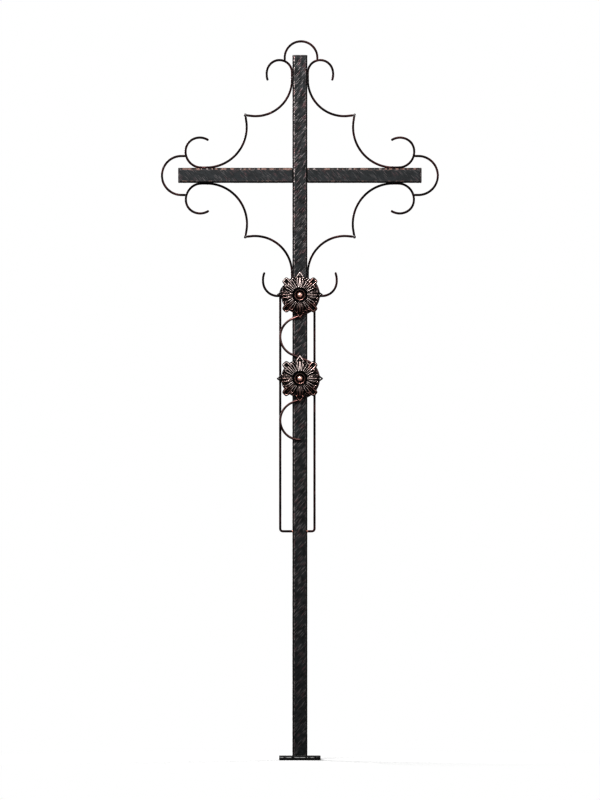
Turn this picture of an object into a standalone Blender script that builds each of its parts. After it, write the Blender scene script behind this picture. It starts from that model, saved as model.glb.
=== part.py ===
# A wrought iron grave cross. The post and the crossbar are hammered square tubes closed by welded caps.
# Eight forged scrolls and three end arcs are welded behind them, two slim frame rods and a wave rod
# run down the post, and two cast rosettes sit on its front over the wave.
# Metres, +Z up. The front faces -Y, and the origin is at the middle of the foot plate's underside.

import math

import bmesh
import bpy

# clearance left between two pieces that touch
GAP = 0.0003

# square tube of the post and of the two crossbar arms, with the caps that close it
BAR_WIDTH = 0.040
BAR_WALL = 0.003
BAR_CORNER = 0.004
BORE_CORNER = 0.0015
CAP_THICKNESS = 0.004
CAP_EDGE = 0.0022
CROSSING_HEIGHT = 1.558
POST_RISE = 0.3207
ARM_REACH = 0.3245

# foot plate and its four bolt holes, each set in from two edges
PLATE_WIDTH = 0.110
PLATE_THICKNESS = 0.010
PLATE_CORNER = 0.003
BOLT_HOLE = 0.011
BOLT_INSET = 0.0163

# round bar of the scrolls, arcs, frame and wave
ROD_RADIUS = 0.003
FACET_ANGLE = 18.0

# the knees, where an upright scroll meets a side scroll in a bead of weld
KNEE_BEAD_RADIUS = 0.0046
KNEE_OUT = 0.1455
KNEE_UP = 0.161
KNEE_DOWN = 0.1635
KNEE_LEAD = 0.016

# each kind of scroll: its wide sweep, the run welded along the bar, and the arcs of its curl (radius, angle)
UPPER_SCROLL = {"sweep": 0.0970, "weld_run": 0.0194, "curl": ((0.0331, 87.0), (0.0339, 77.0), (0.0469, 37.0))}
LOWER_SCROLL = {"sweep": 0.0987, "weld_run": 0.0232, "curl": ((0.0380, 87.5), (0.0389, 81.0), (0.0554, 33.5))}
SIDE_SCROLL = {"sweep": 0.1080, "weld_run": 0.0126, "curl": ((0.0425, 103.0), (0.0351, 46.5), (0.0404, 65.5))}

# end arcs, standing on two curls each; a leg runs from the curls' crown level to the spring of the arc
TOP_ARC_RADIUS = 0.0435
TOP_ARC_LEG = 0.0065
TOP_ARC_SHIFT = 0.003
SIDE_ARC_RADIUS = 0.052
SIDE_ARC_LEG = 0.0110

# rosettes on the post's front: the upper one's drop below the crossing, and the distance down to the lower one
ROSETTE_DROP = 0.3191
ROSETTE_PITCH = 0.2229

# the frame rods beside the post: their distance from its axis, their length, how far they top the upper rosette
FRAME_LEFT = 0.0524
FRAME_RIGHT = 0.0390
FRAME_LENGTH = 0.6609
FRAME_ABOVE = 0.0310
FRAME_BEND = 0.007
FRAME_STUB = 0.002

# the wave rod: its slope where it crosses the post, where its first and last bulges end, in degrees,
# and how far it lies off the post's axis
WAVE_SLOPE = 22.5
WAVE_START = 52.0
WAVE_END = 4.0
WAVE_SHIFT = -0.00095

# the rosette's relief: heights over its flat back, radii of the hub's rings
RELIEF_INNER = 0.0085
RELIEF_OUTER = 0.0032
RELIEF_FALL = 1.3
PETAL_START = 0.021
HUB_GROOVE = (0.0187, 0.0058)
HUB_RIM = (0.0160, 0.0093)
DISH_FLOOR = (0.0083, 0.0050)
BOSS_RADIUS = 0.009
RING_SHARES = (0.0, 0.30, 0.62, 0.88, 1.0)

# pointed leaves on the rosette's axes: reach of the tip, and where the tip's slanting frame ends (along, across)
LEAF_TIP = 0.062
LEAF_FOOT = (0.0415, 0.0148)

# blunt pods between the leaves: reach, and how far the end has rounded off at the pod's side
POD_TIP = 0.0605
POD_ROUNDING = 0.0039
NOTCH_RADIUS = 0.0500
NOTCH_ANGLE = 22.5

# lines of the relief on both sides of a leaf's or a pod's axis: distance off it at the hub, at the rim, and rise
LEAF_VEIN = (0.0, 0.0, -0.0006)
LEAF_RIB = (0.0020, 0.0032, 0.0018)
LEAF_SIDE = (0.0038, 0.0075, -0.0008)
LEAF_FLOOR = (0.0050, 0.0118, -0.0012)
LEAF_FRAME = (0.0065, 0.0148, 0.0009)
POD_CHANNEL = (0.0, 0.0, -0.0008)
POD_RIB = (0.0042, 0.0060, 0.0018)
POD_SIDE = (0.0058, 0.0090, -0.0012)
STAMEN = (0.0068, 0.0160, 0.0013)
NOTCH_FALL = -0.0016

# piercing inside each pointed leaf frame, from the leaf's tip
PIERCING_TOP = 0.0045
PIERCING_FOOT = 0.0120
PIERCING_HALF_WIDTH = 0.0030

# domed rivet in the middle of a rosette
RIVET_RADIUS = 0.0080
RIVET_RISE = 0.0078
RIVET_STEPS = 12

# finishes: colour, roughness, metallic
HAMMERED_BLACK = ((0.055, 0.055, 0.058), 0.50, 0.85)
FORGED_BLACK = ((0.030, 0.018, 0.016), 0.45, 0.85)
ANTIQUE_COPPER = ((0.085, 0.050, 0.045), 0.42, 0.90)
BURNISHED_COPPER = ((0.720, 0.450, 0.370), 0.30, 1.00)

# what follows from the sizes above
BAR_HALF = BAR_WIDTH / 2
SIDE_FACE = BAR_HALF + GAP
ROD_SEAT = BAR_HALF - BAR_CORNER + (BAR_CORNER + ROD_RADIUS + GAP) / math.sqrt(2)
FRAME_PLANE = -(BAR_HALF - ROD_RADIUS)
WAVE_PLANE = -(SIDE_FACE + ROD_RADIUS)
ROSETTE_BACK = WAVE_PLANE - ROD_RADIUS - GAP
POST_FOOT = PLATE_THICKNESS + GAP
POST_TOP = CROSSING_HEIGHT + POST_RISE
ROSETTE_UPPER = CROSSING_HEIGHT - ROSETTE_DROP
ROSETTE_LOWER = ROSETTE_UPPER - ROSETTE_PITCH
FRAME_TOP = ROSETTE_UPPER + FRAME_ABOVE
FRAME_BOTTOM = FRAME_TOP - FRAME_LENGTH
WAVE_PITCH = ROSETTE_PITCH / 2
WAVE_RADIUS = WAVE_PITCH / 2 * math.cos(math.radians(WAVE_SLOPE))


class Route:
    """A rod's centre line, laid out in a plane as straights and arcs that leave each other without a kink."""

    def __init__(self, start, heading):
        self.points = [start]
        self.heading = math.radians(heading)

    def straight(self, length):
        a, b = self.points[-1]
        self.points.append((a + length * math.cos(self.heading), b + length * math.sin(self.heading)))
        return self

    def arc(self, radius, angle):
        """Turns by an angle in degrees, to the left where it is positive."""
        side = math.copysign(1.0, angle)
        a, b = self.points[-1]
        centre_a = a - side * radius * math.sin(self.heading)
        centre_b = b + side * radius * math.cos(self.heading)
        facets = max(1, math.ceil(abs(angle) / FACET_ANGLE))
        first = self.heading - side * math.pi / 2
        for facet in range(1, facets + 1):
            turned = first + math.radians(angle) * facet / facets
            self.points.append((centre_a + radius * math.cos(turned), centre_b + radius * math.sin(turned)))
        self.heading += math.radians(angle)
        return self


def clear_scene():
    for item in list(bpy.data.objects):
        bpy.data.objects.remove(item, do_unlink=True)


def new_collection(name):
    collection = bpy.data.collections.new(name)
    bpy.context.scene.collection.children.link(collection)
    return collection


def give_finish(piece, finish):
    colour, roughness, metallic = finish
    material = bpy.data.materials.new(piece.name + "_finish")
    material.use_nodes = True
    shader = material.node_tree.nodes["Principled BSDF"]
    shader.inputs["Base Color"].default_value = (*colour, 1.0)
    shader.inputs["Roughness"].default_value = roughness
    shader.inputs["Metallic"].default_value = metallic
    piece.data.materials.append(material)


def add_piece(name, data, finish, location=(0, 0, 0), rotation=(0, 0, 0)):
    piece = bpy.data.objects.new(name, data)
    piece.location = location
    piece.rotation_euler = rotation
    parts.objects.link(piece)
    give_finish(piece, finish)
    return piece


def rounded_square(half, corner, steps=3):
    """Outline of a square with round corners, counterclockwise."""
    points = []
    for quarter in range(4):
        middle = math.radians(45 + 90 * quarter)
        centre_x = math.copysign(half - corner, math.cos(middle))
        centre_y = math.copysign(half - corner, math.sin(middle))
        for step in range(steps + 1):
            angle = math.radians(90 * quarter + 90 * step / steps)
            points.append((centre_x + corner * math.cos(angle), centre_y + corner * math.sin(angle)))
    return points


def circle(centre, radius, steps=12):
    return [(centre[0] + radius * math.cos(2 * math.pi * step / steps),
             centre[1] + radius * math.sin(2 * math.pi * step / steps)) for step in range(steps)]


def flat_outline(name, outlines, thickness):
    """A filled 2D curve, extruded to both sides of its plane; outlines inside the first are holes."""
    curve = bpy.data.curves.new(name, "CURVE")
    curve.dimensions = "2D"
    curve.fill_mode = "BOTH"
    curve.extrude = thickness / 2
    for outline in outlines:
        spline = curve.splines.new("POLY")
        spline.points.add(len(outline) - 1)
        for point, (x, y) in zip(spline.points, outline):
            point.co = (x, y, 0.0, 1.0)
        spline.use_cyclic_u = True
    return curve


def add_tube(name, length, location, rotation=(0, 0, 0)):
    outer = rounded_square(BAR_HALF, BAR_CORNER)
    bore = rounded_square(BAR_HALF - BAR_WALL, BORE_CORNER)
    add_piece(name, flat_outline(name, (outer, bore), length), HAMMERED_BLACK, location, rotation)


def cap_mesh():
    """A square plate with the bar's round corners and a soft outer edge; it faces +Z from z = 0."""
    shape = bmesh.new()
    bmesh.ops.create_cube(shape, size=1.0)
    bmesh.ops.scale(shape, vec=(BAR_WIDTH, BAR_WIDTH, CAP_THICKNESS), verts=shape.verts)
    bmesh.ops.translate(shape, vec=(0, 0, CAP_THICKNESS / 2), verts=shape.verts)
    upright = [edge for edge in shape.edges if abs(edge.verts[0].co.z - edge.verts[1].co.z) > CAP_THICKNESS / 2]
    bmesh.ops.bevel(shape, geom=upright, offset=BAR_CORNER, segments=3, profile=0.5, affect="EDGES")
    rim = [edge for edge in shape.edges if min(vert.co.z for vert in edge.verts) > CAP_THICKNESS * 0.99]
    bmesh.ops.bevel(shape, geom=rim, offset=min(CAP_EDGE, CAP_THICKNESS / 2), segments=2, profile=0.5,
                    affect="EDGES")
    mesh = bpy.data.meshes.new("cap")
    shape.to_mesh(mesh)
    shape.free()
    return mesh


def build_bars():
    post_end = POST_TOP - CAP_THICKNESS - GAP
    add_tube("post_tube", post_end - POST_FOOT, (0, 0, (post_end + POST_FOOT) / 2))
    add_piece("post_cap", cap_mesh(), HAMMERED_BLACK, (0, 0, post_end + GAP))
    arm_end = ARM_REACH - CAP_THICKNESS - GAP
    for side, name in ((-1, "left"), (1, "right")):
        turn = (0, side * math.pi / 2, 0)
        middle = side * (arm_end + SIDE_FACE) / 2
        add_tube("arm_tube_" + name, arm_end - SIDE_FACE, (middle, 0, CROSSING_HEIGHT), turn)
        cap_place = (side * (arm_end + GAP), 0, CROSSING_HEIGHT)
        add_piece("arm_cap_" + name, cap_mesh(), HAMMERED_BLACK, cap_place, turn)


def build_foot_plate():
    reach = PLATE_WIDTH / 2 - BOLT_INSET
    outlines = [rounded_square(PLATE_WIDTH / 2, PLATE_CORNER)]
    for x in (-reach, reach):
        for y in (-reach, reach):
            outlines.append(circle((x, y), BOLT_HOLE / 2))
    curve = flat_outline("foot_plate", outlines, PLATE_THICKNESS)
    add_piece("foot_plate", curve, HAMMERED_BLACK, (0, 0, PLATE_THICKNESS / 2))


def add_rod(name, points):
    curve = bpy.data.curves.new(name, "CURVE")
    curve.dimensions = "3D"
    curve.bevel_depth = ROD_RADIUS
    curve.bevel_resolution = 2
    curve.use_fill_caps = True
    spline = curve.splines.new("POLY")
    spline.points.add(len(points) - 1)
    for point, place in zip(spline.points, points):
        point.co = (*place, 1.0)
    spline.use_smooth = True
    add_piece(name, curve, FORGED_BLACK)


def sweep_angle(kind, knee_across):
    """Angle of a scroll's sweep whose straight lead ends at the knee's distance from the bar's axis."""
    radius = kind["sweep"]
    reach = math.hypot(radius, KNEE_LEAD)
    return math.acos((radius - (knee_across - ROD_SEAT)) / reach) - math.atan2(KNEE_LEAD, radius)


def weld_start(kind, knee_along, knee_across):
    """Distance along the bar from the crossing to where the sweep touches the bar."""
    angle = sweep_angle(kind, knee_across)
    return knee_along + kind["sweep"] * math.sin(angle) + KNEE_LEAD * math.cos(angle)


def curl_centre(kind, knee_along, knee_across):
    along = weld_start(kind, knee_along, knee_across) + kind["weld_run"]
    return along, ROD_SEAT + kind["curl"][0][0]


def scroll_route(kind, knee_along, knee_across):
    """A scroll in its bar's own plane: first value along the bar from the crossing, second across it."""
    angle = sweep_angle(kind, knee_across)
    cut = KNEE_BEAD_RADIUS + GAP
    start = (knee_along + cut * math.cos(angle), knee_across - cut * math.sin(angle))
    route = Route(start, -math.degrees(angle))
    route.straight(KNEE_LEAD - cut)
    route.arc(kind["sweep"], math.degrees(angle))
    route.straight(kind["weld_run"])
    for radius, turn in kind["curl"]:
        route.arc(radius, turn)
    return route.points


def build_scrolls():
    for side, side_name in ((-1, "left"), (1, "right")):
        for rise, kind, knee in ((1, UPPER_SCROLL, KNEE_UP), (-1, LOWER_SCROLL, KNEE_DOWN)):
            end_name = "top" if rise > 0 else "bottom"
            above = "upper" if rise > 0 else "lower"
            upright = scroll_route(kind, knee, KNEE_OUT)
            places = [(side * across, ROD_SEAT, CROSSING_HEIGHT + rise * along) for along, across in upright]
            add_rod("scroll_" + end_name + "_" + side_name, places)
            level = scroll_route(SIDE_SCROLL, KNEE_OUT, knee)
            places = [(side * along, ROD_SEAT, CROSSING_HEIGHT + rise * across) for along, across in level]
            add_rod("scroll_" + side_name + "_" + above, places)
            bead = bpy.data.meshes.new("knee_bead")
            shape = bmesh.new()
            bmesh.ops.create_uvsphere(shape, u_segments=10, v_segments=6, radius=KNEE_BEAD_RADIUS)
            shape.to_mesh(bead)
            shape.free()
            bead.shade_smooth()
            knee_place = (side * KNEE_OUT, ROD_SEAT, CROSSING_HEIGHT + rise * knee)
            add_piece("knee_bead_" + above + "_" + side_name, bead, FORGED_BLACK, knee_place)


def leg_end(centre, radius, across):
    """Where a leg that comes straight in along the bar stops against the back of a curl."""
    nearest = max(abs(across - centre[1]) - ROD_RADIUS, 0.0)
    return centre[0] + math.sqrt(max((radius + ROD_RADIUS + GAP) ** 2 - nearest ** 2, 0.0))


def build_end_arcs():
    top_curl = curl_centre(UPPER_SCROLL, KNEE_UP, KNEE_OUT)
    top_radius = UPPER_SCROLL["curl"][0][0]
    spring = top_curl[0] + top_radius + TOP_ARC_LEG
    left_foot = leg_end(top_curl, top_radius, TOP_ARC_RADIUS - TOP_ARC_SHIFT)
    right_foot = leg_end(top_curl, top_radius, TOP_ARC_RADIUS + TOP_ARC_SHIFT)
    route = Route((TOP_ARC_SHIFT - TOP_ARC_RADIUS, CROSSING_HEIGHT + left_foot), 90)
    route.straight(spring - left_foot)
    route.arc(TOP_ARC_RADIUS, -180)
    route.straight(spring - right_foot)
    add_rod("end_arc_top", [(x, ROD_SEAT, z) for x, z in route.points])

    side_radius = SIDE_SCROLL["curl"][0][0]
    above = curl_centre(SIDE_SCROLL, KNEE_OUT, KNEE_UP)
    below = curl_centre(SIDE_SCROLL, KNEE_OUT, KNEE_DOWN)
    spring = max(above[0], below[0]) + side_radius + SIDE_ARC_LEG
    upper_foot = leg_end(above, side_radius, SIDE_ARC_RADIUS)
    lower_foot = leg_end(below, side_radius, SIDE_ARC_RADIUS)
    for side, name in ((-1, "left"), (1, "right")):
        route = Route((upper_foot, SIDE_ARC_RADIUS), 0)
        route.straight(spring - upper_foot)
        route.arc(SIDE_ARC_RADIUS, -180)
        route.straight(spring - lower_foot)
        places = [(side * along, ROD_SEAT, CROSSING_HEIGHT + up) for along, up in route.points]
        add_rod("end_arc_" + name, places)


def build_frame():
    for side, name, distance in ((-1, "left", FRAME_LEFT), (1, "right", FRAME_RIGHT)):
        top_bend = distance - SIDE_FACE - FRAME_STUB
        route = Route((SIDE_FACE, FRAME_BOTTOM), 0)
        route.straight(distance - SIDE_FACE - FRAME_BEND)
        route.arc(FRAME_BEND, 90)
        route.straight(FRAME_LENGTH - FRAME_BEND - top_bend)
        route.arc(top_bend, 90)
        route.straight(FRAME_STUB)
        add_rod("frame_rod_" + name, [(side * x, FRAME_PLANE, z) for x, z in route.points])


def build_wave():
    """Half circles round the post's axis, right and left in turn, joined by runs that slope across it."""
    slope = math.radians(WAVE_SLOPE)
    start_angle = math.radians(WAVE_START)
    start = (WAVE_RADIUS * math.cos(start_angle), ROSETTE_UPPER + WAVE_RADIUS * math.sin(start_angle))
    route = Route(start, WAVE_START - 90)
    crossing = WAVE_PITCH * math.sin(slope)
    route.arc(WAVE_RADIUS, -(WAVE_START + 90 - WAVE_SLOPE))
    route.straight(crossing)
    route.arc(WAVE_RADIUS, 180 - 2 * WAVE_SLOPE)
    route.straight(crossing)
    route.arc(WAVE_RADIUS, -(180 - 2 * WAVE_SLOPE))
    route.straight(crossing)
    route.arc(WAVE_RADIUS, 180 - WAVE_SLOPE + WAVE_END)
    add_rod("wave_rod", [(WAVE_SHIFT + x, WAVE_PLANE, z) for x, z in route.points])


def leaf_edge(across):
    """Distance out along a leaf's axis to the slanting side of its pointed frame."""
    return LEAF_TIP - across * (LEAF_TIP - LEAF_FOOT[0]) / LEAF_FOOT[1]


def pod_edge(across):
    """Distance out along a pod's axis to its rounded end."""
    return POD_TIP - POD_ROUNDING * (across / POD_SIDE[1]) ** 2


def stamen_edge(across):
    """The end of a stamen, just outside the circle of the notches."""
    return math.sqrt(max(NOTCH_RADIUS ** 2 - across ** 2, 0.0)) + POD_ROUNDING / 2


def half_sector(lines, edges):
    """Relief lines on one side of an axis: inner point, outer point (along, across) and rise."""
    half = []
    for (at_hub, at_rim, rise), edge in zip(lines, edges):
        inner = (math.sqrt(PETAL_START ** 2 - at_hub ** 2), at_hub)
        half.append((inner, (edge(at_rim), at_rim), rise))
    return half


def rosette_spokes():
    """Lines of the relief over 360 degrees, leaves and pods in turn, with a notch between them."""
    leaf = half_sector((LEAF_VEIN, LEAF_RIB, LEAF_SIDE, LEAF_FLOOR, LEAF_FRAME), (leaf_edge,) * 5)
    pod = half_sector((POD_CHANNEL, POD_RIB, POD_SIDE, STAMEN), (pod_edge, pod_edge, pod_edge, stamen_edge))
    slant = math.radians(NOTCH_ANGLE)
    notch = ((PETAL_START * math.cos(slant), PETAL_START * math.sin(slant)),
             (NOTCH_RADIUS * math.cos(slant), NOTCH_RADIUS * math.sin(slant)), NOTCH_FALL)
    spokes = []
    for sector in range(8):
        half = leaf if sector % 2 == 0 else pod
        axis = math.radians(90 - 45 * sector)
        lines = [(-1, line) for line in reversed(half[1:])] + [(1, line) for line in half] + [(1, notch)]
        for sign, (inner, outer, rise) in lines:
            ends = []
            for along, across in (inner, outer):
                x = along * math.cos(axis) + sign * across * math.sin(axis)
                z = along * math.sin(axis) - sign * across * math.cos(axis)
                ends.append((x, z))
            spokes.append((ends[0], ends[1], rise))
    return spokes


def relief_height(radius):
    """Height of the domed face between the hub and the tips."""
    share = max(0.0, (radius - PETAL_START) / (LEAF_TIP - PETAL_START))
    return RELIEF_INNER - (RELIEF_INNER - RELIEF_OUTER) * share ** RELIEF_FALL


def rosette_rings():
    """Closed rings of points (x, height, z) from the middle of the face, over the rim, to the boss behind."""
    spokes = rosette_spokes()
    directions = [math.atan2(inner[1], inner[0]) for inner, outer, rise in spokes]
    rings = []
    for radius, height in (DISH_FLOOR, HUB_RIM, HUB_GROOVE):
        rings.append([(radius * math.cos(a), height, radius * math.sin(a)) for a in directions])
    for share in RING_SHARES:
        swell = min(1.0, share / RING_SHARES[1])
        ring = []
        for inner, outer, rise in spokes:
            x = inner[0] + (outer[0] - inner[0]) * share
            z = inner[1] + (outer[1] - inner[1]) * share
            ring.append((x, relief_height(math.hypot(x, z)) + rise * swell, z))
        rings.append(ring)
    rings.append([(outer[0], 0.0, outer[1]) for inner, outer, rise in spokes])
    rings.append([(BOSS_RADIUS * math.cos(a), 0.0, BOSS_RADIUS * math.sin(a)) for a in directions])
    boss_back = ROSETTE_BACK + SIDE_FACE
    rings.append([(BOSS_RADIUS * math.cos(a), boss_back, BOSS_RADIUS * math.sin(a)) for a in directions])
    return rings


def rosette_mesh():
    """Loft from ring to ring, with a fan over the dish's floor and one over the back of the boss."""
    shape = bmesh.new()
    rings = [[shape.verts.new((x, -height, z)) for x, height, z in ring] for ring in rosette_rings()]
    front = shape.verts.new((0, -DISH_FLOOR[1], 0))
    back = shape.verts.new((0, rings[-1][0].co.y, 0))
    count = len(rings[0])
    for index in range(count):
        after = (index + 1) % count
        shape.faces.new((front, rings[0][index], rings[0][after]))
        shape.faces.new((back, rings[-1][after], rings[-1][index]))
        for ring, outer in zip(rings, rings[1:]):
            shape.faces.new((ring[index], outer[index], outer[after], ring[after]))
    bmesh.ops.recalc_face_normals(shape, faces=shape.faces)
    mesh = bpy.data.meshes.new("rosette")
    shape.to_mesh(mesh)
    shape.free()
    return mesh


def add_piercings(rosette, location):
    """Cuts the small triangle inside each of the four leaf frames."""
    shape = bmesh.new()
    depth = RELIEF_INNER * 2
    for quarter in range(4):
        axis = math.radians(90 * quarter)
        top = LEAF_TIP - PIERCING_TOP
        foot = LEAF_TIP - PIERCING_FOOT
        corners = ((top, 0.0), (foot, PIERCING_HALF_WIDTH), (foot, -PIERCING_HALF_WIDTH))
        layers = []
        for y in (-depth, depth):
            layers.append([shape.verts.new((along * math.cos(axis) - across * math.sin(axis), y,
                                            along * math.sin(axis) + across * math.cos(axis)))
                           for along, across in corners])
        shape.faces.new(layers[0])
        shape.faces.new(reversed(layers[1]))
        for index in range(3):
            after = (index + 1) % 3
            shape.faces.new((layers[0][index], layers[1][index], layers[1][after], layers[0][after]))
    bmesh.ops.recalc_face_normals(shape, faces=shape.faces)
    mesh = bpy.data.meshes.new("piercing")
    shape.to_mesh(mesh)
    shape.free()
    cutter = bpy.data.objects.new(rosette.name + "_piercing", mesh)
    cutter.location = location
    cutter.hide_render = True
    cutter.display_type = "WIRE"
    cutters.objects.link(cutter)
    cut = rosette.modifiers.new("piercing", "BOOLEAN")
    cut.operation = "DIFFERENCE"
    cut.object = cutter


def rivet_profile():
    """Half outline of the rivet's dome, from its crown down its outer side to the middle of its flat."""
    points = []
    for step in range(7):
        angle = math.radians(90 - 90 * step / 6)
        points.append((RIVET_RADIUS * math.cos(angle), RIVET_RISE * math.sin(angle)))
    points.append((0.0, 0.0))
    return points


def add_rivet(name, height):
    shape = bmesh.new()
    chain = [shape.verts.new((x, 0, z)) for x, z in rivet_profile()]
    for first, second in zip(chain, chain[1:]):
        shape.edges.new((first, second))
    mesh = bpy.data.meshes.new(name)
    shape.to_mesh(mesh)
    shape.free()
    seat = ROSETTE_BACK - DISH_FLOOR[1] - GAP
    rivet = add_piece(name, mesh, BURNISHED_COPPER, (0, seat, height), (math.pi / 2, 0, 0))
    screw = rivet.modifiers.new("turned", "SCREW")
    screw.steps = RIVET_STEPS
    screw.render_steps = RIVET_STEPS
    screw.use_merge_vertices = True
    screw.merge_threshold = 0.00001


def build_rosettes():
    for name, height in (("upper", ROSETTE_UPPER), ("lower", ROSETTE_LOWER)):
        place = (0, ROSETTE_BACK, height)
        rosette = add_piece("rosette_" + name, rosette_mesh(), ANTIQUE_COPPER, place)
        add_piercings(rosette, place)
        add_rivet("rosette_rivet_" + name, height)


clear_scene()
parts = new_collection("wrought_iron_cross")
cutters = new_collection("cutters")
build_bars()
build_foot_plate()
build_scrolls()
build_end_arcs()
build_frame()
build_wave()
build_rosettes()
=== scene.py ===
import math
import bpy
import numpy as np
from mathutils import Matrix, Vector


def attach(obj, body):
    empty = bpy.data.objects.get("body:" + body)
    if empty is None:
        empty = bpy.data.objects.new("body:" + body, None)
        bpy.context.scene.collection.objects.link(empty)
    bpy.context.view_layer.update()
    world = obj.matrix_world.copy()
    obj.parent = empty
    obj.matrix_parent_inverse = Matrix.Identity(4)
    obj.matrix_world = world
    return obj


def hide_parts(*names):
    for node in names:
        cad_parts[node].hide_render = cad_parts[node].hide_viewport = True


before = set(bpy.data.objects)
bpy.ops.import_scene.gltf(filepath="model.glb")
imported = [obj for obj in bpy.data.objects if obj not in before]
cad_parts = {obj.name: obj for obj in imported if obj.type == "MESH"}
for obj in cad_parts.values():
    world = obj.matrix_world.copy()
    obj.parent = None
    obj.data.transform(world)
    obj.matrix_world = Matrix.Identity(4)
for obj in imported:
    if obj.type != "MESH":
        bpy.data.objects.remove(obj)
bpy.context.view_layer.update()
print("frame loaded")

# Wrought iron grave cross: hammered square bars, forged scrolls, a wave rod and two cast rosettes.
# Lengths in metres; the front faces -Y. Sizes repeat the ones the solids were made with.

gap = 0.0003
barHalf = 0.020
barCorner = 0.004
rodRadius = 0.003
plateTop = 0.010
postTop = 1.8787
armReach = 0.3245
crossingHeight = 1.558
sideFace = barHalf + gap
# the scrolls and the end arcs lie on the bars' rear corners
rodSeat = barHalf - barCorner + (barCorner + rodRadius + gap) / math.sqrt(2)


# numbers and noise, all on whole arrays

def hashed(i, j, seed):
    # fraction of a large sine: a fixed pseudo random number from 0 to 1 for each pair of whole numbers
    value = np.sin(i * 127.1 + j * 311.7 + seed * 74.7) * 43758.5453
    return value - np.floor(value)


def smoothStep(low, high, value):
    # 3t^2 - 2t^3 of the share t of the way from low to high, where high may be the smaller one
    t = np.clip((value - low) / (high - low), 0.0, 1.0)
    return t * t * (3 - 2 * t)


def softNoise(a, b, seed):
    # value noise: random numbers on a unit lattice, blended with smooth weights between its corners
    i, j = np.floor(a), np.floor(b)
    u, v = smoothStep(0, 1, a - i), smoothStep(0, 1, b - j)
    low = hashed(i, j, seed) * (1 - u) + hashed(i + 1, j, seed) * u
    high = hashed(i, j + 1, seed) * (1 - u) + hashed(i + 1, j + 1, seed) * u
    return low * (1 - v) + high * v


def cloudNoise(a, b, seed, octaves=3):
    # sum of softNoise at doubled frequency and halved weight
    total, weight, share = 0.0, 0.0, 1.0
    for octave in range(octaves):
        total = total + share * softNoise(a * 2 ** octave, b * 2 ** octave, seed + octave)
        weight += share
        share /= 2
    return total / weight


# surfaces

class Surfaces:
    # gathers closed surfaces, each a grid of points, and turns them into one mesh

    def __init__(self):
        self.points, self.quads, self.fans, self.values = [], [], [], []
        self.count = 0

    def add(self, grid, ring=False, **values):
        # grid[v, u] closes on itself in u; a ring closes in v too, otherwise each end is closed
        # by a fan to its middle
        rows, columns = grid.shape[:2]
        ends = np.stack([grid[0].mean(0), grid[-1].mean(0)])
        points = np.concatenate([grid.reshape(-1, 3), ends])
        index = np.arange(rows * columns).reshape(rows, columns)
        after = np.roll(index, -1, axis=1)
        if ring:
            index, after = (np.concatenate([part, part[:1]]) for part in (index, after))
        quads = np.stack([index[:-1], after[:-1], after[1:], index[1:]], -1).reshape(-1, 4)
        start = np.full(columns, rows * columns)
        first = np.stack([start, after[0], index[0]], -1)
        last = np.stack([start + 1, index[-1], after[-1]], -1)
        fans = np.concatenate([first, last])
        if ring:
            fans = fans[:0]
            points = points[:-2]
        halves = np.concatenate([quads[:, [0, 1, 2]], quads[:, [0, 2, 3]], fans])
        corners = points[halves]
        volume = np.einsum("ij,ij->i", corners[:, 0], np.cross(corners[:, 1], corners[:, 2])).sum()
        if volume < 0:
            quads, fans = quads[:, ::-1], fans[:, ::-1]
        self.points.append(points)
        self.quads.append(quads + self.count)
        self.fans.append(fans + self.count)
        whole = {}
        for key, value in values.items():
            full = np.broadcast_to(np.asarray(value, float), (rows, columns))
            whole[key] = np.concatenate([full.reshape(-1), [full[0].mean(), full[-1].mean()]])[:len(points)]
        self.values.append((len(points), whole))
        self.count += len(points)

    def piece(self, name, material, replaced=()):
        mesh = bpy.data.meshes.new(name)
        faces = np.concatenate(self.quads).tolist() + np.concatenate(self.fans).tolist()
        mesh.from_pydata(np.concatenate(self.points), [], faces)
        keys = sorted({key for count, whole in self.values for key in whole})
        for key in keys:
            data = np.concatenate([whole.get(key, np.zeros(count)) for count, whole in self.values])
            mesh.attributes.new(key, "FLOAT", "POINT").data.foreach_set("value", data.astype(np.float32))
        mesh.shade_smooth()
        mesh.set_sharp_from_angle(angle=math.radians(50))
        mesh.materials.append(material)
        made = bpy.data.objects.new(name, mesh)
        bpy.context.scene.collection.objects.link(made)
        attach(made, "root")
        if replaced:
            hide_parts(*replaced)
        return made


# materials

class Wire:
    # a node's output socket, on which Python's operators add Math nodes
    def __init__(self, paint, socket):
        self.paint, self.socket = paint, socket

    def __add__(self, other):
        return self.paint.maths("ADD", self, other)

    def __radd__(self, other):
        return self.paint.maths("ADD", other, self)

    def __sub__(self, other):
        return self.paint.maths("SUBTRACT", self, other)

    def __rsub__(self, other):
        return self.paint.maths("SUBTRACT", other, self)

    def __mul__(self, other):
        return self.paint.maths("MULTIPLY", self, other)

    def __rmul__(self, other):
        return self.paint.maths("MULTIPLY", other, self)


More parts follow.
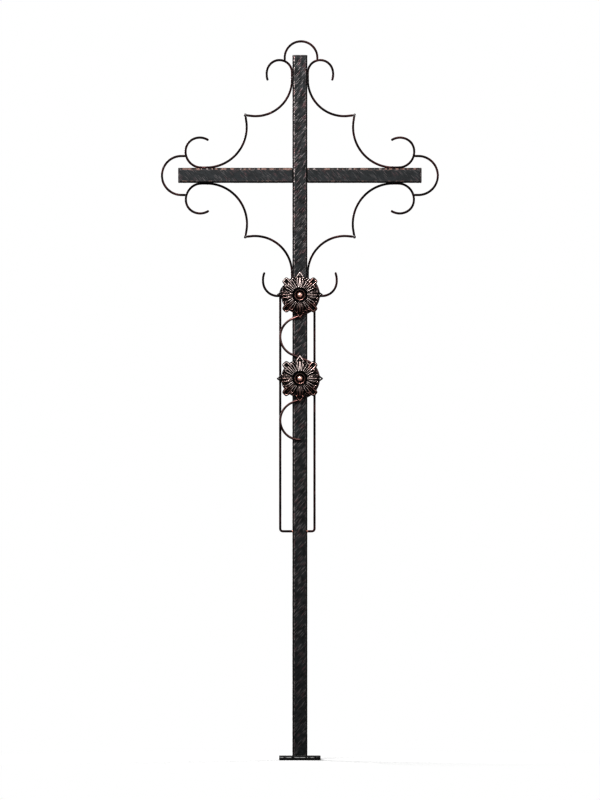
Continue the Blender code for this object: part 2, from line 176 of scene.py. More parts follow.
class Paint:
    # one material's node tree
    def __init__(self, name):
        self.material = bpy.data.materials.new(name)
        self.material.use_nodes = True
        self.tree = self.material.node_tree
        self.shader = self.tree.nodes["Principled BSDF"]

    def plug(self, socket, value):
        if isinstance(value, Wire):
            self.tree.links.new(value.socket, socket)
        else:
            socket.default_value = value

    def node(self, kind, settings=None, inputs=None, output=0):
        made = self.tree.nodes.new(kind)
        for key, value in (settings or {}).items():
            setattr(made, key, value)
        for key, value in (inputs or {}).items():
            self.plug(made.inputs[key], value)
        return Wire(self, made.outputs[output])

    def maths(self, operation, first, second):
        return self.node("ShaderNodeMath", {"operation": operation}, {0: first, 1: second})

    def larger(self, first, second):
        return self.maths("MAXIMUM", first, second)

    def ramp(self, value, low, high):
        limits = {"Value": value, "From Min": low, "From Max": high}
        return self.node("ShaderNodeMapRange", {"interpolation_type": "SMOOTHSTEP"}, limits)

    def mix(self, share, first, second):
        # colour mix; 6 and 7 are the colour sockets of the Mix node
        return self.node("ShaderNodeMix", {"data_type": "RGBA"}, {0: share, 6: first, 7: second}, 2)

    def attribute(self, name):
        return self.node("ShaderNodeAttribute", {"attribute_name": name}, output=2)

    def place(self):
        return self.node("ShaderNodeTexCoord", output=3)

    def turned(self, vector, angle=(0, 0, 0), scale=(1, 1, 1)):
        # the first mapping turns the pattern, the second stretches it along the turned axes
        spun = self.node("ShaderNodeMapping", None, {"Vector": vector, "Rotation": angle})
        return self.node("ShaderNodeMapping", None, {"Vector": spun, "Scale": scale})

    def noise(self, vector, scale, detail=3.0, roughness=0.5, distortion=0.0):
        inputs = {"Vector": vector, "Scale": scale, "Detail": detail, "Roughness": roughness,
                  "Distortion": distortion}
        return self.node("ShaderNodeTexNoise", None, inputs)

    def finish(self, colour, roughness, metallic, height=None, bumpDepth=0.0003, gloss=0.5):
        self.shader.inputs["Specular IOR Level"].default_value = gloss
        self.plug(self.shader.inputs["Base Color"], colour)
        self.plug(self.shader.inputs["Roughness"], roughness)
        self.plug(self.shader.inputs["Metallic"], metallic)
        if height is not None:
            inputs = {"Height": height, "Distance": bumpDepth, "Strength": 1.0}
            self.plug(self.shader.inputs["Normal"], self.node("ShaderNodeBump", None, inputs))
        return self.material


barFinish = {
    "black": (0.0062, 0.0072, 0.0074, 1), "grey": (0.033, 0.0355, 0.0375, 1),
    "rubbed": (0.36, 0.325, 0.325, 1), "copper": (0.30, 0.165, 0.172, 1),
    "paintedEdgeShade": (0.0016, 0.0011, 0.0011, 1), "dashPale": (0.46, 0.395, 0.385, 1),
    "dashCopper": (0.30, 0.205, 0.200, 1), "dashOrange": (0.37, 0.245, 0.210, 1),
    "streakPitch": 0.0021, "streakReach": 0.0275, "streakLow": 0.13, "streakHigh": 0.40, "streakShare": 0.46,
    "bandWidth": 0.034, "fineScale": 1.9, "toneScale": 60.0, "slowBeat": 24.0, "bump": 0.0005,
    "paintedShadeFrom": -1.00, "paintedShadeTo": 1.70, "strokesFrom": -1.00, "strokesTo": 1.80,
    "frontStart": 2.5 * barCorner * math.pi / 2 + 4 * (barHalf - barCorner),
}


def hammeredIron(name, slant, amount, dashes, even=0.0, beat=110.0, dashTint="dashCopper"):
    # black iron under slanting strokes of the hammer: a stretched cell pattern in which some cells carry a
    # ridge rubbed light grey or copper. The iron is painted darker toward the foot and near black on its
    # rounded corners, both painted shade. dashes are lines along a corner, rubbed and partly painted
    # highlight:
    # place across the front, half width, share of the length that is rubbed, share that is copper, strength.
    # even takes the clouds out of the black, and beat is how often a rubbed line is broken
    s = barFinish
    paint = Paint(name)
    spot = paint.place()
    across, along = paint.attribute("across"), paint.attribute("along")
    flat = paint.node("ShaderNodeCombineXYZ", None, {0: across, 1: along})
    turned = paint.turned(flat, (0, 0, slant), (1 / s["streakPitch"], 1 / s["streakReach"], 1))
    banded = paint.turned(flat, (0, 0, slant * 1.3), (0.4 / s["bandWidth"], 1.2 / s["bandWidth"], 1))
    cells = {"voronoi_dimensions": "2D", "feature": "F1"}
    near = paint.node("ShaderNodeTexVoronoi", cells, {"Vector": turned, "Scale": 1.0})
    chance = paint.node("ShaderNodeTexVoronoi", cells, {"Vector": turned, "Scale": 1.0}, 1)
    parts = [paint.node("ShaderNodeSeparateColor", None, {0: chance}, channel) for channel in (0, 1)]
    fine = paint.noise(turned, s["fineScale"], 3.0, 0.6, 0.1)
    band = paint.noise(banded, 1.0, 2.0)
    tone = paint.noise(spot, s["toneScale"], 4.0, 0.65)
    height = paint.node("ShaderNodeSeparateXYZ", None, {0: spot}, 2)
    # painted light: the iron is painted brighter toward the top and darker toward the foot, as the light
    # falls off downward
    paintedLight = paint.ramp(height, s["paintedShadeFrom"], s["paintedShadeTo"])
    stroked = paint.ramp(height, s["strokesFrom"], s["strokesTo"])
    # the strokes: which cells keep their ridge, how bare the ridge is, and how far down the post it shows
    missing = 1 - s["streakShare"]
    kept = paint.ramp(parts[0] + 0.9 * (band - 0.5), missing - 0.06, missing + 0.10)
    streak = 1 - paint.ramp(near, s["streakLow"], s["streakHigh"])
    ridge = streak * (0.10 + 0.90 * kept) * (0.62 + 0.38 * paint.ramp(fine, 0.35, 0.60))
    ridge = ridge * (0.20 + 0.80 * stroked) * amount
    # the black between them, clouded grey and darker toward the foot, which is painted shade
    cloud = even + (1 - even) * paint.ramp(tone, 0.35, 0.68)
    body = paint.mix(cloud * (0.40 + 0.60 * paintedLight), s["black"], s["grey"])
    veil = 0.36 * (1 - even) * paint.ramp(fine, 0.40, 0.66) * (0.2 + 0.8 * paintedLight)
    body = paint.mix(veil, body, s["grey"])
    warm = paint.ramp(parts[1] + 1.2 * (band - 0.5), 0.55, 0.80)
    bright = paint.mix(warm, s["rubbed"], s["copper"])
    # painted shade: the rounded corners are painted near black, for the dark reflections that fall on them
    edge = paint.ramp(paint.attribute("edge"), 0.01, 0.24)
    colour = paint.mix(edge, paint.mix(0.85 * ridge, body, bright), s["paintedEdgeShade"])
    wearAndSheen = ridge * (1 - edge)
    wander = {"noise_dimensions": "1D"}
    for number, (place, width, share, copperShare, strength) in enumerate(dashes):
        offset = paint.maths("ABSOLUTE", across - (s["frontStart"] + place), 0.0) + width * (fine - 0.5)
        line = 1 - paint.ramp(offset, 0.30 * width, 1.25 * width)
        quickWalk = {"W": along + 3.7 * number + 0.006 * (fine - 0.5), "Scale": beat, "Detail": 2.0}
        slowWalk = {"W": along + 9.1 * number, "Scale": s["slowBeat"], "Detail": 1.0}
        broken = paint.node("ShaderNodeTexNoise", wander, quickWalk)
        slow = paint.node("ShaderNodeTexNoise", wander, slowWalk)
        lasting = paint.ramp(broken + 0.4 * (slow - 0.5), 0.66 - 0.4 * share, 0.78 - 0.4 * share)
        # the dashes also fade toward the foot with the painted light
        dash = line * (0.10 + 0.90 * lasting) * (0.06 + 0.94 * paintedLight) * strength
        tint = paint.ramp(slow, 0.62 - 0.3 * copperShare, 0.70 - 0.3 * copperShare)
        colour = paint.mix(dash, colour, paint.mix(tint, s["dashPale"], s[dashTint]))
        wearAndSheen = paint.larger(wearAndSheen, dash)
    colour = paint.mix(0.5 * paint.attribute("rub"), colour, bright)
    relief = (0.55 * streak + 0.30 * fine + 0.15 * tone) * (1 - 0.7 * edge)
    return paint.finish(colour, 0.54 - 0.16 * wearAndSheen + 0.36 * edge, 0.20 + 0.65 * wearAndSheen, relief, s["bump"], 0.20)


rodFinish = {
    "black": (0.0046, 0.0013, 0.0015, 1), "brown": (0.030, 0.0085, 0.0090, 1),
    "copper": (0.27, 0.150, 0.138, 1), "heat": (0.20, 0.062, 0.045, 1),
}


def forgedIron(name, copper):
    # near black round bar with a red-brown bloom, copper where its crown is rubbed and painted highlight
    # where it faces up, red by the welds
    s = rodFinish
    paint = Paint(name)
    spot = paint.place()
    bloom = paint.noise(spot, 30.0, 3.0, 0.55)
    grain = paint.noise(spot, 420.0, 3.0, 0.6)
    body = paint.mix(paint.ramp(bloom, 0.40, 0.68), s["black"], s["brown"])
    body = paint.mix(0.75 * paint.attribute("heat"), body, s["heat"])
    crown = paint.ramp(paint.attribute("rub") + 0.5 * (grain - 0.5), 0.40, 0.90)
    crown = crown * (copper + 0.40 * paint.ramp(bloom, 0.46, 0.68))
    colour = paint.mix(crown, body, s["copper"])
    return paint.finish(colour, 0.48 - 0.12 * crown, 0.15 + 0.8 * crown, grain, 0.00005, 0.06)


castFinish = {
    "pit": (0.0022, 0.0015, 0.0014, 1), "brown": (0.022, 0.0110, 0.0090, 1),
    "darkRed": (0.024, 0.0060, 0.0040, 1), "steel": (0.34, 0.275, 0.255, 1),
    "copper": (0.42, 0.240, 0.215, 1), "redCopper": (0.34, 0.165, 0.135, 1), "pale": (0.76, 0.65, 0.62, 1),
}


def antiqueCopper(name):
    # casting blackened in its hollows, its ridges rubbed grey by the hub and pink outward, paler on the upper
    # ridges by painted highlight and redder and darker low down by painted shade
    s = castFinish
    paint = Paint(name)
    spot = paint.place()
    bloom = paint.noise(spot, 70.0, 3.0, 0.55)
    grain = paint.noise(spot, 520.0, 3.0, 0.6)
    wearAndSheen = paint.attribute("rub") + 0.16 * (bloom - 0.5) + 0.10 * (grain - 0.5)
    # low marks where the casting is painted redder and darker low down, painted shade, and its dish, red all
    # round
    low = paint.attribute("low")
    bare = paint.mix(low, paint.mix(paint.attribute("pink"), s["steel"], s["copper"]), s["redCopper"])
    colour = paint.mix(paint.ramp(wearAndSheen, 0.20, 0.56), s["pit"], paint.mix(low, s["brown"], s["darkRed"]))
    colour = paint.mix(paint.ramp(wearAndSheen, 0.42, 0.86), colour, bare)
    # painted highlight: the most rubbed crowns, most of them high up, turn pale and less metallic
    pale = paint.ramp(wearAndSheen, 0.80, 1.10) * (1 - 0.4 * low)
    colour = paint.mix(pale, colour, s["pale"])
    return paint.finish(colour, 0.44 - 0.14 * paint.ramp(wearAndSheen, 0.3, 1.0), 0.85 - 0.45 * pale, grain, 0.00010)


rivetFinish = {"foot": (0.070, 0.016, 0.012, 1), "bright": (0.88, 0.56, 0.48, 1)}


def burnishedCopper(name):
    # rivet head burnished bright with a fine grain, lighter on its upper side by painted highlight, dark
    # red-brown toward its foot and low down by painted shade
    s = rivetFinish
    paint = Paint(name)
    grain = paint.noise(paint.place(), 700.0, 3.0, 0.6)
    bare = paint.ramp(paint.attribute("rub") + 0.3 * (grain - 0.5), 0.15, 0.85)
    return paint.finish(paint.mix(bare, s["foot"], s["bright"]), 0.30 + 0.12 * grain, 0.95, grain, 0.00006)


plateFinish = {
    "black": (0.0030, 0.0027, 0.0027, 1), "dusty": (0.012, 0.011, 0.011, 1), "rubbed": (0.44, 0.44, 0.435, 1),
    "lineOut": (0.0535, 0.0545), "lineFrom": (0.0056, 0.0064), "lineTo": (0.0076, 0.0084),
}


def plateIron(name):
    # flat black plate, a little dusty, with a line round its edge that is light in broken stretches, partly
    # rubbed and partly painted highlight
    s = plateFinish
    paint = Paint(name)
    spot = paint.place()
    tone = paint.noise(spot, 55.0, 4.0, 0.6)
    grain = paint.noise(spot, 600.0, 3.0, 0.6)
    broken = paint.noise(spot, 75.0, 3.0, 0.6)
    x, y, z = [paint.node("ShaderNodeSeparateXYZ", None, {0: spot}, axis) for axis in (0, 1, 2)]
    outward = paint.larger(paint.maths("ABSOLUTE", x, 0.0), paint.maths("ABSOLUTE", y, 0.0))
    # the light line just under the plate's top edge: partly rubbed, partly painted highlight
    line = paint.ramp(outward, *s["lineOut"]) * paint.ramp(z, *s["lineFrom"])
    line = line * (1 - paint.ramp(z, *s["lineTo"])) * paint.ramp(broken, 0.44, 0.54)
    colour = paint.mix(paint.ramp(tone, 0.32, 0.68), s["black"], s["dusty"])
    colour = paint.mix(line, colour, s["rubbed"])
    return paint.finish(colour, 0.56 + 0.15 * grain, 0.2, 0.5 * grain + 0.5 * tone, 0.0003, 0.20)


weldFinish = {
    "scale": (0.0050, 0.0040, 0.0038, 1), "grey": (0.24, 0.22, 0.22, 1), "copper": (0.62, 0.34, 0.28, 1),
    "pale": (0.20, 0.19, 0.18, 1),
}


def weldIron(name, bead, amount):
    # weld metal: dark scale on a grey or coppery bead
    paint = Paint(name)
    grain = paint.noise(paint.place(), 500.0, 3.0, 0.6)
    wearAndSheen = paint.ramp(paint.attribute("rub") + 0.4 * (grain - 0.5), 0.40, 0.95) * amount
    colour = paint.mix(wearAndSheen, weldFinish["scale"], weldFinish[bead])
    return paint.finish(colour, 0.42, 0.3 + 0.6 * wearAndSheen, grain, 0.0002, 0.35)


slantPost = math.radians(40)
slantArm = math.radians(46)
# the stronger dashes, on the post's left edge and on the arms' top edges, are partly painted highlight where
# the light falls
postDashes = [(0.0008, 0.0012, 0.52, 0.05, 0.86), (0.0313, 0.0009, 0.30, 0.45, 0.42)]
postIron = hammeredIron("postIron", slantPost, 1.0, postDashes)
armLeftDashes = [(0.0328, 0.0019, 0.52, 0.75, 0.86), (0.0296, 0.0010, 0.38, 0.50, 0.36),
                 (0.0006, 0.0012, 0.34, 0.60, 0.46)]
armRightDashes = [(-0.0008, 0.0021, 0.48, 0.70, 0.78), (0.0024, 0.0010, 0.34, 0.50, 0.32),
                  (0.0314, 0.0012, 0.34, 0.60, 0.46)]
armLeftIron = hammeredIron("armLeftIron", slantArm, 0.42, armLeftDashes, 0.7, 85.0, "dashOrange")
armRightIron = hammeredIron("armRightIron", slantArm, 0.34, armRightDashes, 0.6, 85.0, "dashOrange")
scrollIron = forgedIron("scrollIron", 0.11)
waveIron = forgedIron("waveIron", 0.48)
rosetteCopper = antiqueCopper("rosetteCopper")
rivetCopper = burnishedCopper("rivetCopper")
footIron = plateIron("footIron")
kneeWeld = weldIron("kneeWeld", "grey", 0.5)
copperWeld = weldIron("copperWeld", "copper", 0.9)
paleWeld = weldIron("paleWeld", "pale", 0.5)
print("materials made")


# hammered bars

bars = {
    "flatSteps": 17, "cornerSteps": 5, "alongStep": 0.0024,
    "strokeLength": 0.0150, "strokeWidth": 0.0044, "strokeDepth": 0.00042,
    "wallWave": 0.0002, "wallHollow": 0.00040, "wallFade": 0.004, "endChamfer": 0.0007,
}
caps = {
    "thickness": 0.004, "seam": 0.0006, "edge": 0.0022, "steps": 7, "innerRings": 13,
    "dish": 0.00012, "pits": 0.00025, "paintedRimShade": 0.20,
}


def squareOutline(half, corner):
    # round a square with round corners, from the middle of its rear right corner on. Each side is the second
    # half of one corner's arc, a flat, and the first half of the next arc. Gives the points, their outward
    # normals, the running distance, and how far each lies into a corner (0 on a flat, 1 in a corner's middle)
    eighth = math.pi / 4
    bend = np.linspace(0, eighth, bars["cornerSteps"])[:-1]
    flat = np.linspace(0, 1, bars["flatSteps"])
    share = np.concatenate([0 * bend, flat, 1 + 0 * bend[1:]])[:, None]
    past = np.concatenate([bend, eighth + 0 * flat, eighth + bend[1:]])
    depth = np.concatenate([1 - bend / eighth, 0 * flat, bend[1:] / eighth])
    places, normals = [], []
    for side in range(4):
        turn = eighth + 2 * eighth * side
        here = (half - corner) * np.sign([math.cos(turn), math.sin(turn)])
        after = np.array([-here[1], here[0]])
        normal = np.stack([np.cos(turn + past), np.sin(turn + past)], -1)
        places.append(here * (1 - share) + after * share + corner * normal)
        normals.append(normal)
    places = np.concatenate(places)
    steps = np.linalg.norm(np.diff(places, axis=0), axis=1)
    return places, np.concatenate(normals), np.concatenate([[0], np.cumsum(steps)]), np.tile(depth, 4)


barPlaces, barNormals, barRunning, barBends = squareOutline(barHalf, barCorner)


def strokeHollows(across, along, slant, seed):
    # slanting hammer strokes: in a frame turned by the slant, each cell of a jittered lattice holds one
    # hollow, exp(-(a / length)^4 - (b / width)^2); the deepest of the nine nearest cells counts
    s = bars
    a = across * math.sin(slant) + along * math.cos(slant)
    b = across * math.cos(slant) - along * math.sin(slant)
    i, j = np.floor(a / s["strokeLength"]), np.floor(b / s["strokeWidth"])
    deepest = np.zeros_like(a)
    for di in (-1, 0, 1):
        for dj in (-1, 0, 1):
            centreA = (i + di + 0.2 + 0.6 * hashed(i + di, j + dj, seed)) * s["strokeLength"]
            centreB = (j + dj + 0.25 + 0.5 * hashed(i + di, j + dj, seed + 5)) * s["strokeWidth"]
            reach = 0.55 + 0.45 * hashed(i + di, j + dj, seed + 9)
            hollow = np.exp(-((a - centreA) / (0.55 * s["strokeLength"] * reach)) ** 4
                            - ((b - centreB) / (0.42 * s["strokeWidth"])) ** 2)
            deepest = np.maximum(deepest, hollow * (0.5 + 0.5 * reach))
    return deepest


def hammeredBar(length, slant, seed):
    # the square outline carried along z from 0 to length, pressed in by the strokes and chamfered at both
    # ends: the grid, and the values that the iron's material reads
    s = bars
    height = np.linspace(0, length, int(length / s["alongStep"]))
    across, along = np.meshgrid(barRunning, height)
    hollow = strokeHollows(across, along, slant, seed)
    swell = cloudNoise(across * 45, along * 30, seed + 3)
    press = s["strokeDepth"] * hollow * (1 - 0.65 * barBends[None]) + s["wallWave"] * swell
    # the two walls that are edge on from the front are a little hollow, so that none of their dents shines
    flatEnd = barHalf - barCorner
    inward = smoothStep(flatEnd, flatEnd - s["wallFade"], np.abs(barPlaces[:, 1]))
    press = press + s["wallHollow"] * np.where(np.abs(barNormals[:, 0]) > 0.99, inward, 0.0)[None]
    fromEnd = np.minimum(along, length - along)
    press = press + s["endChamfer"] * np.clip(1 - fromEnd / s["endChamfer"], 0, 1)
    flat = barPlaces[None] - barNormals[None] * press[..., None]
    # how far into a corner; the material paints the corners near black as painted shade
    edge = smoothStep(0.0, 0.55, barBends[None] + 0.25 * (swell - 0.5))
    values = {"across": across, "along": along, "rub": 0.0, "edge": edge}
    return np.concatenate([flat, along[..., None]], -1), values


def onArm(side, grid, start):
    # a bar's grid laid along an arm: its x becomes height, downward on the right arm, so that the strokes
    # lean the same way on both
    return np.stack([side * (start + grid[..., 2]), grid[..., 1], crossingHeight - side * grid[..., 0]], -1)


def buildPost():
    lift = plateTop + gap
    grid, values = hammeredBar(postTop - caps["thickness"] - lift, slantPost, 11)
    grid[..., 2] += lift
    shape = Surfaces()
    shape.add(grid, **values)
    shape.piece("hammeredPost", postIron, ["post_tube"])


def buildArm(side, name, material):
    grid, values = hammeredBar(armReach - caps["thickness"] - sideFace, slantArm, 23 + side)
    values["along"] = values["along"] + 2 * (side > 0)
    shape = Surfaces()
    shape.add(onArm(side, grid, sideFace), **values)
    shape.piece("hammeredArm" + name, material, ["arm_tube_" + name.lower()])


jointWeld = {"from": 0.0194, "to": 0.0214, "inset": 0.0008, "rough": 0.0002, "rows": 5}


def buildJointWeld(side, name):
    # a low collar that closes the slit between the arm and the post, just under the surface of both
    s = jointWeld
    distance, out = np.meshgrid(barRunning, np.linspace(s["from"], s["to"], s["rows"]))
    inset = s["inset"] + s["rough"] * cloudNoise(distance * 300, out * 300, 61 + side)
    flat = barPlaces[None] - barNormals[None] * inset[..., None]
    shape = Surfaces()
    shape.add(onArm(side, np.concatenate([flat, out[..., None]], -1), 0.0), rub=0.0)
    shape.piece("jointWeld" + name, paleWeld)


buildPost()
buildJointWeld(-1, "Left")
buildJointWeld(1, "Right")
buildArm(-1, "Left", armLeftIron)
buildArm(1, "Right", armRightIron)
print("bars hammered")


# end caps

def capGrid(seed):
    # rings of the square outline: up the seam's chamfer, up the side, round the outer edge, then in to the
    # middle
    s = caps
    bend = np.linspace(0, math.pi / 2, s["steps"])
    inner = np.linspace(s["edge"], barHalf * 0.96, s["innerRings"] + 1)[1:]
    inset = np.concatenate([[s["seam"], 0.0], s["edge"] * (1 - np.cos(bend)), inner])
    height = np.concatenate([[0.0, s["seam"]], s["thickness"] - s["edge"] * (1 - np.sin(bend)),
                             s["thickness"] - s["dish"] + 0 * inner])
    flat = barPlaces[None] * ((barHalf - inset) / barHalf)[:, None, None]
    pitted = s["pits"] * cloudNoise(flat[..., 0] * 260, flat[..., 1] * 260, seed)
    up = height[:, None] - np.where(inset[:, None] > s["edge"] * 0.5, pitted, 0.0)
    rim = np.exp(-(inset / (s["edge"] * 0.45)) ** 2)[:, None]
    rub = rim * (0.35 + 0.65 * cloudNoise(barRunning * 160, float(seed), seed))[None]
    # painted shade: the cap's rounded rim is marked to be painted near black, like the bars' corners
    shadedRim = s["paintedRimShade"] - 0.20 * rub + 0.45 * np.clip(inset / (0.5 * s["edge"]), 0, 1)[:, None]
    shadedRim = shadedRim * (1 - smoothStep(s["edge"], 1.6 * s["edge"], inset))[:, None]
    return np.concatenate([flat, up[..., None]], -1), rub, shadedRim


def buildCap(name, node, seed, place):
    # the strokes' pattern lies flat over the face, beside the stretch that holds the rubbed corner lines
    grid, rub, shadedRim = capGrid(seed)
    across = grid[..., 0] + 0.5 + grid[..., 2]
    shape = Surfaces()
    shape.add(place(grid), across=across, along=grid[..., 1] + seed, rub=0.30 * rub, edge=shadedRim)
    shape.piece(name, postIron, [node])


buildCap("postCap", "post_cap", 31, lambda grid: grid + np.array([0, 0, postTop - caps["thickness"]]))
for side, name in ((-1, "Left"), (1, "Right")):
    buildCap("armCap" + name, "arm_cap_" + name.lower(), 32 + side,
             lambda grid: onArm(side, grid, armReach - caps["thickness"]))
print("caps closed")


# foot plate keeps its solid; a ring of weld runs round the post's foot

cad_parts["foot_plate"].data.materials.clear()
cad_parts["foot_plate"].data.materials.append(footIron)

footWeldSize = {"reach": 0.0015, "steps": 300, "sides": 12, "ripple": 0.0036}


def buildFootWeld():
    # a quarter bead carried round the post: each ripple is a small bulge of the bead along its path
    s = footWeldSize
    total = barRunning[-1] + np.linalg.norm(barPlaces[0] - barPlaces[-1])
    distance = np.linspace(0, total, s["steps"], endpoint=False)
    closed = np.append(barRunning, total)
    x, y, outX, outY = [np.interp(distance, closed, np.append(values, values[0]))
                        for values in (*barPlaces.T, *barNormals.T)]
    ripple = 1 - 0.16 * np.abs(np.sin(math.pi * distance / s["ripple"]))
    ripple = ripple * (0.82 + 0.36 * cloudNoise(distance * 90, distance * 0, 41))
    turn = np.linspace(0, 2 * math.pi, s["sides"], endpoint=False)[:, None]
    out = s["reach"] * (0.10 + 0.80 * np.clip(np.cos(turn), -0.4, 1)) * ripple
    up = s["reach"] * (0.10 + 0.80 * np.clip(np.sin(turn), -0.1, 1)) * ripple
    grid = np.stack([x + outX * out, y + outY * out, plateTop + gap + up], -1)
    crown = np.clip(np.sin(turn) + 0.3, 0, 1) * (ripple - 0.2)
    shape = Surfaces()
    shape.add(np.swapaxes(grid, 0, 1), ring=True, rub=np.swapaxes(crown, 0, 1))
    shape.piece("footWeld", paleWeld)


buildFootWeld()
print("foot welded")


# rods

rods = {"sides": 16, "step": 0.0018, "unevenness": 0.00016, "endRings": 5, "endRound": 0.75}
blobs = {"rows": 13, "columns": 18, "rough": 0.22}


def walkRoute(start, heading, moves):
    # centre line in a plane: a move of one number is a straight, of two an arc (radius, degrees to the left)
    points, at, angle = [np.array([start])], np.array(start, float), math.radians(heading)
    for move in moves:
        if len(move) == 1:
            count = max(2, int(move[0] / rods["step"]))
            reach = np.linspace(0, move[0], count + 1)[1:, None]
            line = at + reach * np.array([math.cos(angle), math.sin(angle)])
        else:
            radius, sweep = move[0], math.radians(move[1])
            side = math.copysign(1, sweep)
            centre = at + side * radius * np.array([-math.sin(angle), math.cos(angle)])
            count = max(3, int(radius * abs(sweep) / rods["step"]))
            turned = angle - side * math.pi / 2 + np.linspace(0, sweep, count + 1)[1:]
            line = centre + radius * np.stack([np.cos(turned), np.sin(turned)], -1)
            angle += sweep
        points.append(line)
        at = line[-1]
    return np.concatenate(points)


def inPlane(flat, depth, lift=0.0, mirror=1.0):
    # a route's two values become x and z at one depth y
    return np.stack([mirror * flat[:, 0], np.full(len(flat), depth), lift + flat[:, 1]], -1)


def sweptRod(path, radius, sides, seed, uneven):
    # a circle carried along a path at one depth y, dented by noise; rings that shrink as a quarter circle
    # round its ends over
    rings, soft = rods["endRings"], rods["endRound"]
    tangent = np.gradient(path, axis=0)
    tangent /= np.linalg.norm(tangent, axis=1, keepdims=True)
    bend = np.linspace(0, math.pi / 2, rings + 1)[1:]
    back = (soft * radius * (1 - np.sin(bend)))[:, None]
    shrunk = radius * (1 - soft * (1 - np.cos(bend)))
    path = np.concatenate([path[0] + tangent[0] * back[::-1], path[1:-1], path[-1] - tangent[-1] * back])
    size = np.concatenate([shrunk[::-1], np.full(len(path) - 2 * rings, radius), shrunk])
    tangent = np.concatenate([np.repeat(tangent[:1], rings, 0), tangent[1:-1],
                              np.repeat(tangent[-1:], rings, 0)])
    side = np.cross(tangent, (0.0, 1.0, 0.0))
    side /= np.linalg.norm(side, axis=1, keepdims=True)
    third = np.cross(side, tangent)
    turn = np.linspace(0, 2 * math.pi, sides, endpoint=False)[None]
    length = np.concatenate([[0], np.cumsum(np.linalg.norm(np.diff(path, axis=0), axis=1))])[:, None]
    ring = size[:, None] - uneven * cloudNoise(turn * 1.3, length * 95, seed)
    spokes = np.cos(turn)[..., None] * third[:, None] + np.sin(turn)[..., None] * side[:, None]
    return path[:, None] + ring[..., None] * spokes


def outwardOf(grid):
    # from the middle of each ring to its points, one long
    away = grid - grid.mean(1, keepdims=True)
    return away / (np.linalg.norm(away, axis=2, keepdims=True) + 1e-9)


def rodRubAndSheen(grid, strength, seed):
    # how much a rod's surface is rubbed: most on the crown that faces front and up, the upward part of it
    # painted highlight, broken by slow noise
    away = outwardOf(grid)
    crown = np.clip(-0.80 * away[..., 1] + 0.60 * away[..., 2], 0, 1) ** 1.5
    patchy = cloudNoise(grid[..., 0] * 40 + grid[..., 2] * 40, grid[..., 2] * 28, seed)
    return np.clip(crown * (strength + 0.8 * (patchy - 0.5)), 0, 1)


def addRod(shape, path, strength, seed, hot=None):
    # hot: middle and half length of a weld run, within which the bar keeps a red tint
    grid = sweptRod(path, rodRadius, rods["sides"], seed, rods["unevenness"])
    heat = 0.0
    if hot is not None:
        heat = np.exp(-(np.linalg.norm(grid - np.array(hot[0]), axis=2) / hot[1]) ** 4)
    shape.add(grid, rub=rodRubAndSheen(grid, strength, seed), heat=heat)


def addBlob(shape, centre, reach, seed, rub, axis):
    # a lump of weld: an ellipsoid whose radius is roughened by noise, its long way along an axis square to y
    long, wide, deep = reach
    polar = np.linspace(0.06, math.pi - 0.06, blobs["rows"])[:, None]
    turn = np.linspace(0, 2 * math.pi, blobs["columns"], endpoint=False)[None]
    axis = np.array(axis) / np.linalg.norm(axis)
    first = np.cross(axis, (0.0, 1.0, 0.0))
    second = np.cross(axis, first)
    noise = cloudNoise(3 * np.cos(turn) + 3 * polar, 3 * np.sin(turn) + 2 * polar, seed)
    rough = 1 - blobs["rough"] * noise
    local = (axis * (long * np.cos(polar) * rough)[..., None]
             + first * (wide * np.sin(polar) * np.cos(turn) * rough)[..., None]
             + second * (deep * np.sin(polar) * np.sin(turn) * rough)[..., None])
    shape.add(np.array(centre) + local, rub=np.clip(rub * (0.5 + rough), 0, 1))


# scrolls: the knee's place and the straight lead from it, then the sweep, the run along the bar and the
# curl's arcs
scrolls = {
    "kneeOut": 0.1455, "kneeUp": 0.161, "kneeDown": 0.1635, "lead": 0.016, "strength": 0.55,
    "hotReach": 0.022, "beadRadius": 0.0046, "beadReach": (0.0049, 0.0049, 0.0047),
    "upper": {"sweep": 0.0970, "weldRun": 0.0194, "curl": ((0.0331, 87.0), (0.0339, 77.0), (0.0469, 37.0))},
    "lower": {"sweep": 0.0987, "weldRun": 0.0232, "curl": ((0.0380, 87.5), (0.0389, 81.0), (0.0554, 33.5))},
    "side": {"sweep": 0.1080, "weldRun": 0.0126, "curl": ((0.0425, 103.0), (0.0351, 46.5), (0.0404, 65.5))},
}
tacks = {
    "nookPast": 0.008, "nookRadius": 0.0019, "nookIn": 0.0022, "endPast": 0.003, "endOut": 0.0006,
    "endReach": (0.0058, 0.0030, 0.0034), "forward": 0.0022,
}


def sweepAngle(kind, kneeAcross):
    # the arc's angle for which the straight lead ends at the knee
    reach = math.hypot(kind["sweep"], scrolls["lead"])
    rise = kneeAcross - rodSeat
    return math.acos((kind["sweep"] - rise) / reach) - math.atan2(scrolls["lead"], kind["sweep"])


def weldStart(kind, kneeAlong, kneeAcross):
    angle = sweepAngle(kind, kneeAcross)
    return kneeAlong + kind["sweep"] * math.sin(angle) + scrolls["lead"] * math.cos(angle)


def curlCentre(kind, kneeAlong, kneeAcross):
    return weldStart(kind, kneeAlong, kneeAcross) + kind["weldRun"], rodSeat + kind["curl"][0][0]


def scrollRoute(kind, kneeAlong, kneeAcross):
    # along the bar from the crossing, and across it
    angle = sweepAngle(kind, kneeAcross)
    cut = scrolls["beadRadius"] * 0.8
    start = (kneeAlong + cut * math.cos(angle), kneeAcross - cut * math.sin(angle))
    moves = [(scrolls["lead"] - cut,), (kind["sweep"], math.degrees(angle)), (kind["weldRun"],)]
    return walkRoute(start, -math.degrees(angle), moves + list(kind["curl"]))


